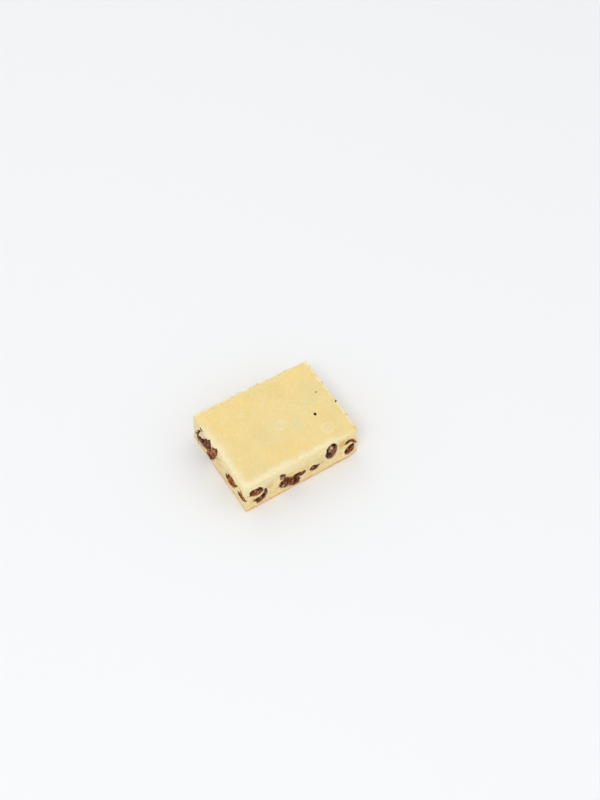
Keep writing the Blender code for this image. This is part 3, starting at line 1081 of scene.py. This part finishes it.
    def sockets(self, place: Array) -> tuple[Array, dict[str, Array]]:
        """The beds that the raisins lie in, and how the curd looks round them.

        For each raisin, a place's distance from its middle is measured in halves of its size, so
        that 1 is its skin. The curd goes in under the skin, has a groove beside it and a low rim
        round it, and here and there a lip that laps over the skin. Where a cover lies, the curd
        follows the raisin's dome instead, the root of 1 - a squared - b squared, a little above it.

        Args:
            place: Places on the smooth form, one a row.

        Returns:
            Movements in millimetres, and shares of staining, painted shade where the curd meets the raisin,
            pale rim and smear.
        """
        move = np.zeros_like(place)
        shares = {name: np.zeros(len(place)) for name in ("juice", "contact_shade", "halo", "smear")}
        uneven = self.noise(place / self.bed_spacing + 1.0)
        for raisin in self.raisins:
            local = (place - self.raisin_middle(raisin)) @ raisin.axes.T / raisin.half
            near = np.linalg.norm(local, axis=1) < self.bed_reach
            local, rough = local[near], uneven[near]
            reach = np.linalg.norm(local, axis=1)
            height = -self.socket_depth * smooth_step(*self.socket_edge, reach)
            lips = smooth_step(*self.lip_edge, rough)
            height += self.lip_height * lips * ring_bell(reach, *self.lip_ring)
            height -= self.groove_depth * (1.0 - lips) * ring_bell(reach, *self.groove_ring)
            height += self.rim_height * ring_bell(reach, *self.rim_ring)
            smear = np.zeros(len(local))
            for cover in raisin.covers:
                away = cover.away(local) + self.cover_ragged * rough
                smear = np.maximum(smear, smooth_step(*self.cover_edge, away))
            half_thick = raisin.half[2]
            dome = half_thick * np.sqrt(np.maximum(1.0 - local[:, 0] ** 2 - local[:, 1] ** 2, 0.0))
            laid = np.maximum(dome - half_thick + raisin.proud, 0.0) + self.cover_thick
            height += smear * smooth_step(*self.cover_fade, reach) * (laid - height)
            move[near] += height[:, None] * raisin.side.outward
            # Painted shade in the gap where the curd meets the raisin, less where a lip laps over it
            contact_shade = smooth_step(*self.contact_shade_edge, reach) * (1.0 - self.lip_hides * lips)
            found = {
                "juice": bell(np.maximum(reach - 1.0, 0.0), self.juice_reach) * (0.6 + 0.5 * rough),
                "contact_shade": contact_shade * (1.0 - smear),
                "halo": ring_bell(reach, *self.halo_ring) * (0.75 + 0.5 * rough),
                "smear": smear * smooth_step(*self.smear_fade, reach),
            }
            for name, share in found.items():
                shares[name][near] = np.maximum(shares[name][near], share)
        return move, {name: np.clip(share, 0.0, 1.0) for name, share in shares.items()}

    def build(self) -> bpy.types.Object:
        """Shape the block and dress it.

        Returns:
            The piece that stands for the node of the curd.
        """
        cube, faces = self.lattice()
        place, outward = self.smooth_form(cube)
        self.place, self.outward, self.cube = place, outward, cube
        inward = unit(np.array([-1.0, 1.0, 0.0]))
        beds, shares = self.sockets(place)
        shaped = place + outward * self.surface_relief(cube, place, outward)[:, None]
        shaped += beds + inward * self.corner_wear(place)[:, None]
        # The dark mark is painted shade where the curd meets each raisin, in cracks and under the strips, and
        # the tone of juice smears
        dark = self.contact_shade_strength * shares.pop("contact_shade")
        ragged = 0.75 + 0.5 * self.noise(place / self.line_spacing + 6.0)
        beds_of_strips = [(shred, self.shred_bed, self.shred_shade) for shred in self.shreds]
        for line, depth, tone in [*((s, s.depth, s.dark) for s in self.streaks), *beds_of_strips]:
            facing = smooth_step(*self.line_turn, outward @ line.side.outward)
            share = line.nearness(place) * facing * ragged
            shaped -= line.side.outward * (depth * share)[:, None]
            dark = np.maximum(dark, tone * smooth_step(*self.line_edge, share))
        self.shaped = shaped
        marks = {**self.marks(cube, place, outward), "dark": np.clip(dark, 0.0, 1.0)}
        marks |= {name: np.maximum(share, marks.get(name, 0.0)) for name, share in shares.items()}
        piece = make_piece("curd_block", shaped + self.centring, faces, marks)
        piece.data.materials.append(self.finish.material())
        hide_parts("curd_bake")
        return piece

    def marks(self, cube: Array, place: Array, outward: Array) -> dict[str, Array]:
        """Where each tone of the curd lies, as shares from 0 to 1.

        Args:
            cube: Places on the cube from -1 to 1, one a row.
            place: Places on the smooth form.
            outward: Its outward directions.

        Returns:
            Shares for each point, by the name that the material reads.
        """
        soft = self.softness(cube)
        wander = self.noise.layered(place / self.tone_spacing + 2.0, 3)
        turn = outward[:, 2] + self.turn_wander * wander
        from_front = place[:, 1] + self.half[1]
        from_left = place[:, 0] + self.half[0]
        inset = np.minimum(from_front, from_left) + self.soft_wander * wander
        skin_soft = smooth_step(*self.soft_inset, inset) * smooth_step(*self.soft_turn, turn)
        from_crisp = np.minimum(self.half[0] - place[:, 0], self.half[1] - place[:, 1])
        from_crisp += self.crisp_wander * wander
        skin_crisp = smooth_step(*self.crisp_turn, turn) * smooth_step(*self.crisp_inset, from_crisp)
        skin = soft * skin_soft + (1.0 - soft) * skin_crisp
        high_up = self.band_share * smooth_step(*self.band_rise, place[:, 2] + self.rise_wander * wander)
        # A pale cream band on the soft edges and high on the soft sides, and a painted highlight along the
        # crisp top edges
        pale_band_and_highlight = np.maximum(smooth_step(*self.band_turn, outward[:, 2]), soft * high_up) * (1.0 - skin)
        shares = {
            "skin": skin,
            "pale_band_and_highlight": pale_band_and_highlight,
            # A warmer tan strip along the bottom of the sides
            "base": smooth_step(*self.bottom_strip, place[:, 2] + self.base_wander * wander),
            "stain": self.tinge_share(place, outward, JUICE_STAINS),
            "smear": self.tinge_share(place, outward, PALE_SMEARS),
            "warm": self.patch_share(place, WARM_PATCHES) * (0.8 + 0.6 * wander),
            "cool": self.patch_share(place, COOL_PATCHES) * (0.8 + 0.6 * wander),
            "ring": self.rim_rings(place),
            "pale": self.patch_share(place, PALE_PATCHES) * (0.8 + 0.4 * wander),
        }
        return {name: np.clip(share, 0.0, 1.0) for name, share in shares.items()}

    def tinge_share(self, place: Array, outward: Array, tinges: tuple[Tinge, ...]) -> Array:
        """How far each place belongs to any of the tinges on the side that it faces.

        Args:
            place: Places on the smooth form.
            outward: Its outward directions.
            tinges: The tinges.

        Returns:
            Shares from 0 to 1.
        """
        uneven = self.noise.layered(place / self.tinge_spacing + 5.0, 3)
        facing = {side: smooth_step(*self.tinge_turn, outward @ side.outward) for side in Side}
        return np.max([tinge.share(place, uneven) * facing[tinge.side] for tinge in tinges], axis=0)

    def patch_share(self, place: Array, patches: tuple[Patch, ...]) -> Array:
        """How far each place belongs to any of the patches: the highest of their bells."""
        bells = [bell(np.hypot(place[:, 0] - p.across, place[:, 1] - p.along), p.reach) for p in patches]
        return np.max(bells, axis=0)


@dataclass(frozen=True)
class CurdFinish:
    """Baked curd: a satin yellow skin over paler, finely crumbed curd."""

    yellow: tuple = linear(245, 220, 149)
    yellow_deep: tuple = linear(242, 212, 137)
    yellow_pale: tuple = linear(246, 227, 166)
    warm: tuple = linear(253, 219, 134)
    cool: tuple = linear(234, 217, 152)
    pale: tuple = linear(236, 221, 184)
    cream: tuple = linear(246, 222, 158)
    cream_deep: tuple = linear(238, 204, 134)
    cream_grey: tuple = linear(226, 208, 152)
    # Pale cream of the soft edges, also used as a painted highlight on the crisp top edges
    pale_band_and_highlight: tuple = linear(252, 237, 192)
    halo: tuple = linear(255, 238, 200)
    smear: tuple = linear(234, 213, 182)
    smear_thin: tuple = linear(206, 168, 142)
    # Warmer tan along the bottom of the sides
    base: tuple = linear(224, 166, 114)
    stain: tuple = linear(222, 178, 78)
    juice: tuple = linear(176, 134, 104)
    # Painted shade in cracks, at the raisins' edges and under the strips, and dark raisin juice
    dark: tuple = linear(82, 42, 16)
    pore: tuple = linear(222, 190, 124)
    # Sizes of its patterns and depths of its relief, in metres
    broad_size: float = 0.016
    mottle_size: float = 0.0042
    fine_size: float = 0.0011
    grain_size: float = 0.0006
    lump_depth: float = 0.00035
    pore_depth: float = 0.00040
    grain_depth: float = 0.00022

    def material(self) -> bpy.types.Material:
        """Tones blended by the block's marks and by noise, with fine pores.

        Returns:
            The curd's material.
        """
        graph = Graph("baked_curd")
        skin = graph.mark("skin")
        broad = graph.noise(self.broad_size, 3.0)
        mottle = graph.noise(self.mottle_size, 4.0)
        fine = graph.noise(self.fine_size, 3.0)
        granular = graph.noise(self.grain_size, 1.0)
        top = graph.fleck(self.yellow, self.yellow_deep, broad, 0.35, 0.68)
        top = graph.fleck(top, self.yellow_pale, mottle, 0.48, 0.75, 0.75)
        top = graph.tint(top, self.warm, "warm", 0.65)
        top = graph.tint(top, self.cool, "cool", 0.75)
        top = graph.tint(top, self.pale, "pale", 0.6)
        top = graph.tint(top, self.pale_band_and_highlight, "ring", 0.6)
        top = graph.fleck(top, self.yellow_deep, fine, 0.55, 0.8, 0.25)
        side = graph.fleck(self.cream, self.cream_deep, mottle, 0.4, 0.7, 0.8)
        side = graph.fleck(side, self.cream_grey, broad, 0.5, 0.7, 0.7)
        side = graph.blend(graph.mark("pale_band_and_highlight"), side, self.pale_band_and_highlight)
        side = graph.tint(side, self.base, "base", 0.9)
        tone = graph.blend(skin, side, top)
        tone = graph.tint(tone, self.stain, "stain", 0.8)
        tone = graph.tint(tone, self.halo, "halo", 0.7)
        tone = graph.tint(tone, self.juice, "juice", 0.4)
        smeared = graph.fleck(self.smear, self.smear_thin, fine, 0.45, 0.7)
        tone = graph.blend(graph.mark("smear"), tone, smeared)
        # Painted shade and dark juice, by the dark mark
        tone = graph.blend(graph.mark("dark"), tone, self.dark)
        tone = graph.blend(graph.spread(granular, 0.36, 0.5, 0.22, 0.0), tone, self.pore)
        tone = graph.fleck(tone, self.pale_band_and_highlight, granular, 0.52, 0.66, 0.22)
        grains = graph.bump(granular, self.grain_depth)
        pores = graph.bump(fine, self.pore_depth, grains)
        lumps = graph.bump(mottle, self.lump_depth, pores)
        rough = graph.spread(skin, 0.0, 1.0, 0.58, 0.42)
        graph.set(Base_Color=tone, Roughness=rough, Normal=lumps, IOR=1.42)
        graph.set(Subsurface_Weight=0.18, Subsurface_Scale=0.0025, Subsurface_Radius=(1.0, 0.8, 0.5))
        return graph.material


@dataclass(frozen=True)
class RaisinFinish:
    """Moist raisin skin: painted shade in its creases, painted highlights and glints, and glossier ridges."""

    name: str
    ridge: tuple
    body: tuple
    # Tone of the painted shade in the creases
    shaded_crease: tuple
    # Tone of the painted highlights
    painted_highlight: tuple = linear(236, 204, 170)
    painted_glint: tuple = linear(224, 166, 116)
    mirror: tuple = (1.0, 0.64, 0.28, 1.0)
    # Sizes of its patterns and depths of its relief, in metres
    blotch_size: float = 0.0035
    vein_size: float = 0.0016
    grain_size: float = 0.0005
    vein_depth: float = 0.0002
    grain_depth: float = 0.00006

    def material(self) -> bpy.types.Material:
        """Tones by how deep the skin is creased, with painted shade in the creases, painted highlights and
        glints, and a fine leathery grain.

        Returns:
            The skin's material.
        """
        graph = Graph(self.name)
        shaded_crease = graph.mark("shaded_crease")
        blotch = graph.noise(self.blotch_size, 1.5)
        grain = graph.noise(self.grain_size)
        vein = graph.noise(self.vein_size, 0.6)
        away = graph.math("ABSOLUTE", graph.math("SUBTRACT", vein, 0.5))
        tone = graph.fleck(self.body, self.ridge, blotch, 0.4, 0.62)
        # Painted glints where the vein noise is high
        tone = graph.fleck(tone, self.painted_glint, vein, 0.57, 0.72, 0.6)
        # Painted shade along the fine wrinkle lines
        tone = graph.blend(graph.spread(away, 0.0, 0.07, 0.85, 0.0), tone, self.shaded_crease)
        # Painted shade in the creases, and on the sides where the raisin sinks into its bed
        tone = graph.fleck(tone, self.shaded_crease, shaded_crease, 0.3, 0.9, 0.9)
        # Painted highlights where the raisin marks them, broken up by the vein noise
        painted_highlight = graph.math("MULTIPLY", graph.mark("painted_highlight"), graph.spread(vein, 0.4, 0.6, 0.5, 1.0))
        tone = graph.blend(painted_highlight, tone, self.painted_highlight)
        wet = graph.spread(blotch, 0.3, 0.7, 0.0, 0.12)
        rough = graph.math("ADD", graph.spread(shaded_crease, 0.1, 0.9, 0.26, 0.55), wet)
        grained = graph.bump(grain, self.grain_depth)
        wrinkles = graph.bump(graph.spread(away, 0.0, 0.09), self.vein_depth, grained)
        graph.set(Base_Color=tone, Roughness=rough, Normal=wrinkles)
        graph.set(Specular_IOR_Level=0.22, Specular_Tint=self.mirror)
        graph.set(Subsurface_Weight=0.06, Subsurface_Scale=0.0008)
        return graph.material


SKIN_FINISHES = {
    Skin.DARK: RaisinFinish("raisin_skin_dark", linear(152, 74, 38), linear(104, 41, 19), linear(24, 7, 1)),
    Skin.RED: RaisinFinish("raisin_skin_red", linear(188, 96, 50), linear(146, 65, 32), linear(40, 13, 3)),
    Skin.TORN: RaisinFinish(
        "raisin_torn_flesh", linear(206, 132, 68), linear(164, 94, 46), linear(60, 26, 14)
    ),
}


@dataclass
class RaisinSet:
    """Every raisin of the bake, each a closed wrinkled skin in its bed."""

    block: CurdBlock
    rows: int = 56
    columns: int = 88
    base_size: float = 0.99
    lump: float = 0.09
    fold: float = 0.19
    fine_fold: float = 0.09
    fold_power: int = 3
    lump_scale: float = 1.1
    bend: float = 0.35
    bend_scale: float = 1.7
    fold_scale: tuple[float, float, float] = (0.9, 2.1, 2.1)
    fine_scale: tuple[float, float, float] = (2.2, 4.6, 4.6)
    flank_shade: tuple[float, float] = (0.7, 0.2)
    flank_shade_strength: float = 0.7
    seed: int = 23
    seed_step: float = 3.7

    def skin(self, raisin: Raisin, number: int, ways: Array) -> tuple[Array, Array]:
        """Wrinkle one raisin.

        The size factor is the base size, plus smooth lumps, less narrow valleys. A valley is
        (1 - |noise|) cubed, where the noise is stretched along the raisin so that the valleys run
        lengthwise. A second, finer set of valleys lies between them.

        Args:
            raisin: The raisin to shape.
            number: Its place in the list, which varies the noise.
            ways: Unit directions over a ball with its poles on the long axis.

        Returns:
            Places in millimetres in the raisin's own directions, and how deep each is creased.
        """
        noise = Noise(self.seed + number)
        offset = number * self.seed_step
        lumps = noise(ways * self.lump_scale + offset)
        bent = ways + self.bend * noise(ways * self.bend_scale + offset + 9.0)[:, None]
        coarse = (1.0 - np.abs(noise(bent * self.fold_scale + offset))) ** self.fold_power
        finer = (1.0 - np.abs(noise(bent * self.fine_scale + offset + 5.0))) ** self.fold_power
        factor = self.base_size + self.lump * lumps
        factor -= raisin.wrinkle * (self.fold * coarse + self.fine_fold * finer)
        return ways * factor[:, None] * raisin.half, np.clip(0.75 * coarse + 0.35 * finer, 0.0, 1.0)

    def build(self) -> list[bpy.types.Object]:
        """Shape and dress every raisin.

        Returns:
            The pieces, each of which stands for its own node.
        """
        finishes = {skin: finish.material() for skin, finish in SKIN_FINISHES.items()}
        ways, faces = closed_ball(self.rows, self.columns)
        # Painted shade on the raisin's sides and inner half, where it sinks into its bed
        flank_shade = self.flank_shade_strength * smooth_step(*self.flank_shade, ways[:, 2])
        pieces = []
        for number, raisin in enumerate(self.block.raisins, start=1):
            local, shaded_crease = self.skin(raisin, number, ways)
            place = local @ raisin.axes + self.block.raisin_middle(raisin) + self.block.centring
            marks = {"shaded_crease": np.clip(shaded_crease + flank_shade, 0.0, 1.0), "painted_highlight": raisin.painted_highlight_share(ways)}
            piece = make_piece(raisin.name + "_skin", place, faces, marks)
            piece.data.materials.append(finishes[raisin.skin])
            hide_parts(raisin.name)
            pieces.append(piece)
        return pieces


@dataclass
class ShredSet:
    """The strips of torn raisin skin, as one piece for each cut side."""

    block: CurdBlock
    rows: int = 56
    columns: int = 24
    blunt: float = 0.45
    ragged: float = 0.5
    fold: float = 0.5
    fold_scale: tuple[float, float, float] = (0.7, 2.2, 2.2)
    fold_power: int = 4
    look_ahead: float = 0.01
    stop_length: float = 3.0
    lump_length: float = 1.4
    lumps_round: float = 1.3
    seed: int = 71
    seed_step: float = 5.1

    def line_form(self, shred: Shred, share: Array) -> tuple[Array, Array]:
        """Places and widths along a strip: a smooth cubic through its stops.

        Between two stops a and b, with neighbours p and n, at share t, the curve is
        (2a + (b - p)t + (2p - 5a + 4b - n)t squared + (3a - p - 3b + n)t cubed) / 2.

        Args:
            shred: The strip.
            share: Shares of the way along it, from 0 to 1.

        Returns:
            Places on the block's smooth form, and widths.
        """
        stops = np.array(shred.line)
        run = share * (len(stops) - 1)
        number = np.minimum(run.astype(int), len(stops) - 2)
        t = (run - number)[:, None]
        last = len(stops) - 1
        before, start = stops[np.maximum(number - 1, 0)], stops[number]
        end, after = stops[number + 1], stops[np.minimum(number + 2, last)]
        cubic = 3 * start - before - 3 * end + after
        square = 2 * before - 5 * start + 4 * end - after
        stop = (2 * start + (end - before) * t + square * t**2 + cubic * t**3) / 2
        return self.block.on_side(shred.side, stop[:, 0], stop[:, 1]), stop[:, 2]

    def strip(self, shred: Shred, number: int, ways: Array) -> tuple[Array, Array]:
        """One strip: a ball drawn out along the line, as wide as the line says and flat.

        Args:
            shred: The strip to shape.
            number: Its place in the list, which varies the noise.
            ways: Unit directions over a ball with its poles on X.

        Returns:
            Places in millimetres, and how deep each is creased.
        """
        noise = Noise(self.seed + number)
        share = (1.0 + ways[:, 0]) / 2
        place, width = self.line_form(shred, share)
        ahead, _ = self.line_form(shred, np.minimum(share + self.look_ahead, 1.0))
        behind, _ = self.line_form(shred, np.maximum(share - self.look_ahead, 0.0))
        across = np.cross(shred.side.outward, unit(ahead - behind))
        ring = ways[:, 1:] / np.maximum(np.hypot(ways[:, 1], ways[:, 2]), 1e-6)[:, None] ** self.blunt
        run = share * (len(shred.line) * self.stop_length) / self.lump_length
        spot = np.column_stack([run, self.lumps_round * ways[:, 1:]]) + number * self.seed_step
        # Crease depth, which the material also darkens as painted shade
        shaded_crease = (1.0 - np.abs(noise(spot * self.fold_scale))) ** self.fold_power
        edge = 1.0 + self.ragged * noise(spot)
        height = ring[:, 1] * shred.thick / 2 * (1.0 - self.fold * shaded_crease) + shred.proud - shred.thick / 2
        sideways = ring[:, 0] * width / 2 * edge
        return place + across * sideways[:, None] + shred.side.outward * height[:, None], shaded_crease

    def build(self) -> list[bpy.types.Object]:
        """Shape and dress the strips of each side.

        Returns:
            One piece for each side.
        """
        ways, faces = closed_ball(self.rows, self.columns)
        skins = list(Skin)
        pieces = []
        for side in Side:
            strips = [(n, shred) for n, shred in enumerate(self.block.shreds) if shred.side is side]
            shapes = [self.strip(shred, n, ways) for n, shred in strips]
            place = np.concatenate([shape[0] for shape in shapes]) + self.block.centring
            shaded_crease = np.concatenate([shape[1] for shape in shapes])
            joined = [[p + start * len(ways) for p in face] for start in range(len(strips)) for face in faces]
            name = "skin_strips_" + side.name.lower()
            piece = make_piece(name, place, joined, {"shaded_crease": shaded_crease})
            for skin in skins:
                piece.data.materials.append(bpy.data.materials[SKIN_FINISHES[skin].name])
            numbers = np.repeat([skins.index(shred.skin) for _, shred in strips], len(faces))
            piece.data.polygons.foreach_set("material_index", numbers)
            pieces.append(piece)
        return pieces


@dataclass(frozen=True)
class Speck:
    """A small burnt or herb-green bit on the top, in millimetres."""

    across: float
    along: float
    length: float
    width: float
    turn: float
    green: float


@dataclass
class SurfaceBits:
    """What clings to the block: specks in the baked skin, and crumbs along its crisp edges."""

    block: CurdBlock
    curd: bpy.types.Material
    specks: tuple[Speck, ...] = (
        Speck(23.4, -8.0, 2.3, 1.7, 70.0, 0.0),
        Speck(32.8, 5.7, 1.4, 0.9, 20.0, 1.0),
        Speck(39.2, -6.6, 1.6, 1.1, 50.0, 0.3),
    )
    speck_steps: tuple[int, int] = (10, 16)
    speck_height: float = 0.28
    speck_lump: float = 0.25
    speck_scale: float = 1.8
    burnt: tuple = linear(20, 13, 9)
    herb: tuple = linear(128, 118, 62)
    speck_grain: float = 0.0004
    speck_relief: float = 0.00005
    crumb_steps: tuple[int, int] = (6, 8)
    crumb_count: int = 240
    crumb_sizes: tuple[float, float] = (0.3, 1.0)
    crumb_lump: float = 0.3
    crumb_scale: float = 1.5
    crumb_clusters: float = 4.0
    crumb_lift: float = 0.1
    top_edge: tuple[float, float] = (0.9, 1.0)
    side_edge: tuple[float, float] = (0.95, 1.0)
    foot_edge: tuple[float, float] = (-0.8, -0.95)
    foot_share: float = 0.12
    # How far the outward direction rises where a side ends and the top begins
    side_turn: float = 0.3
    seed: int = 5

    def build_specks(self) -> bpy.types.Object:
        """Shape low lumpy bits, each half sunk in the skin where the block's surface is nearest.

        Returns:
            The piece with all the specks.
        """
        ways, faces = closed_ball(*self.speck_steps)
        noise = Noise(self.seed)
        on_top = self.block.outward[:, 2] > self.side_turn
        points, all_faces, green = [], [], []
        for speck in self.specks:
            spot = np.array([speck.across, speck.along])
            away = np.linalg.norm(self.block.shaped[:, :2] - spot, axis=1)
            rest = self.block.shaped[np.argmin(np.where(on_top, away, np.inf))]
            turn = math.radians(speck.turn)
            lump = 1.0 + self.speck_lump * noise(ways * self.speck_scale + speck.across)
            flat = ways * lump[:, None] * [speck.length / 2, speck.width / 2, self.speck_height]
            turned = flat @ np.array(Matrix.Rotation(turn, 3, "Z")).T
            all_faces += [[n + len(ways) * len(points) for n in face] for face in faces]
            points.append(turned + rest)
            green.append(np.full(len(ways), speck.green))
        place = np.concatenate(points) + self.block.centring
        piece = make_piece("skin_specks", place, all_faces, {"green": np.concatenate(green)})
        graph = Graph("burnt_speck")
        tone = graph.blend(graph.mark("green"), self.burnt, self.herb)
        grain = graph.bump(graph.noise(self.speck_grain), self.speck_relief)
        graph.set(Base_Color=tone, Roughness=0.7, Normal=grain, Specular_IOR_Level=0.15)
        piece.data.materials.append(graph.material)
        return piece

    def build_crumbs(self) -> bpy.types.Object:
        """Shape small lumps of curd, stuck along the crisp top edges and low on the sides.

        Returns:
            The piece with all the crumbs.
        """
        draw = np.random.default_rng(self.seed)
        noise = Noise(self.seed + 1)
        cube, block = self.block.cube, self.block
        crisp = (1.0 - block.softness(cube)) * smooth_step(*self.top_edge, cube[:, 2])
        crisp *= smooth_step(*self.side_edge, np.maximum(cube[:, 0], cube[:, 1]))
        upright = np.abs(block.outward[:, 2]) < self.side_turn
        low = self.foot_share * smooth_step(*self.foot_edge, cube[:, 2]) * upright
        weight = crisp * np.maximum(noise(block.place / self.crumb_clusters), 0.0) + low
        ways, faces = closed_ball(*self.crumb_steps)
        count = self.crumb_count
        chosen = draw.choice(len(cube), count, replace=False, p=weight / weight.sum())
        sizes = draw.uniform(*self.crumb_sizes, (count, 1, 3)) / 2
        spots = np.tile(ways * self.crumb_scale, (count, 1)) + np.repeat(chosen, len(ways))[:, None]
        lumps = 1.0 + self.crumb_lump * noise(spots)
        blobs = ways[None] * sizes * lumps.reshape(count, -1, 1)
        place = blobs + (block.shaped[chosen] + self.crumb_lift * block.outward[chosen])[:, None]
        starts = np.arange(count) * len(ways)
        all_faces = [[n + start for n in face] for start in starts.tolist() for face in faces]
        place = place.reshape(-1, 3) + block.centring
        piece = make_piece("edge_crumbs", place, all_faces, {})
        piece.data.materials.append(self.curd)
        return piece


@dataclass(frozen=True)
class Lamp:
    """A square soft light that faces the block: its place and side in metres, and its power in
    watts. A glint lights only what shines.
    """

    name: str
    place: tuple[float, float, float]
    size: float
    power: float
    glint: bool = False

    def build(self) -> None:
        """Add the lamp to the scene."""
        light = bpy.data.lights.new(self.name, "AREA")
        light.size = self.size
        light.energy = self.power
        lamp = bpy.data.objects.new(self.name, light)
        bpy.context.scene.collection.objects.link(lamp)
        lamp.location = self.place
        lamp.rotation_euler = Vector(self.place).to_track_quat("Z", "Y").to_euler()
        lamp.visible_diffuse = not self.glint


@dataclass
class Studio:
    """A pale table, soft light from all round, and the camera."""

    azimuth: float = -31.651
    elevation: float = 55.074
    roll: float = -0.117
    camera_place: tuple[float, float, float] = (-199.94, -353.24, 628.93)
    lens: float = 54.0
    sensor: float = 36.0
    clip_start: float = 0.01
    table_size: float = 6.0
    table_tone: tuple = linear(246, 246, 246)
    table_rough: float = 0.8
    world_tone: tuple = (0.97, 0.985, 1.0, 1.0)
    world_light: float = 0.84
    lamps: tuple[Lamp, ...] = (
        Lamp("key_light", (-0.7, -0.5, 1.3), 0.5, 4.0),
        Lamp("fill_light", (0.9, -0.9, 0.7), 0.9, 1.0),
        Lamp("back_light", (0.2, 1.2, 1.0), 1.0, 1.0),
        Lamp("glint_light_0", (-0.25, -0.45, 0.9), 0.1, 1.6, glint=True),
        Lamp("glint_light_1", (0.5, -0.4, 0.8), 0.1, 1.6, glint=True),
        Lamp("glint_light_2", (0.1, 0.7, 0.7), 0.1, 1.6, glint=True),
    )

    def add_table(self) -> None:
        """One wide flat face under the block."""
        half = self.table_size / 2
        corners = [(-half, -half, 0.0), (half, -half, 0.0), (half, half, 0.0), (-half, half, 0.0)]
        mesh = bpy.data.meshes.new("pale_table")
        mesh.from_pydata(corners, [], [(0, 1, 2, 3)])
        table = bpy.data.objects.new("pale_table", mesh)
        bpy.context.scene.collection.objects.link(table)
        graph = Graph("pale_table")
        graph.set(Base_Color=self.table_tone, Roughness=self.table_rough)
        mesh.materials.append(graph.material)

    def add_camera(self) -> None:
        """The camera at the photograph's place and angle."""
        turn, rise, roll = (math.radians(a) for a in (self.azimuth, self.elevation, self.roll))
        back = Vector((math.sin(turn) * math.cos(rise), -math.cos(turn) * math.cos(rise), math.sin(rise)))
        level = Vector((math.cos(turn), math.sin(turn), 0.0))
        upward = back.cross(level)
        right = level * math.cos(roll) + upward * math.sin(roll)
        upright = upward * math.cos(roll) - level * math.sin(roll)
        camera = bpy.data.cameras.new("camera")
        camera.sensor_fit = "AUTO"
        camera.sensor_width = self.sensor
        camera.lens = self.lens
        camera.clip_start = self.clip_start
        item = bpy.data.objects.new("camera", camera)
        bpy.context.scene.collection.objects.link(item)
        pose = Matrix((right, upright, back)).transposed().to_4x4()
        pose.translation = Vector(self.camera_place) * MM
        item.matrix_world = pose
        bpy.context.scene.camera = item

    def build(self) -> None:
        """Set up the table, the light and the camera."""
        scene = bpy.context.scene
        world = bpy.data.worlds.new("soft_surroundings")
        world.use_nodes = True
        background = world.node_tree.nodes["Background"]
        background.inputs["Color"].default_value = self.world_tone
        background.inputs["Strength"].default_value = self.world_light
        scene.world = world
        scene.view_settings.view_transform = "Standard"
        scene.view_settings.look = "None"
        self.add_table()
        for lamp in self.lamps:
            lamp.build()
        self.add_camera()


def main() -> None:
    """Build every piece in order and report it."""
    logging.basicConfig(level=logging.INFO, format="%(name)s: %(message)s")
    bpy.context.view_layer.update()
    block = CurdBlock(CurdFinish())
    curd = block.build()
    log.info("%s: %d faces", curd.name, len(curd.data.polygons))
    for piece in [*RaisinSet(block).build(), *ShredSet(block).build()]:
        log.info("%s: %d faces", piece.name, len(piece.data.polygons))
    bits = SurfaceBits(block, curd.data.materials[0])
    for piece in (bits.build_specks(), bits.build_crumbs()):
        log.info("%s: %d faces", piece.name, len(piece.data.polygons))
    Studio().build()


if __name__ == "__main__":
    main()
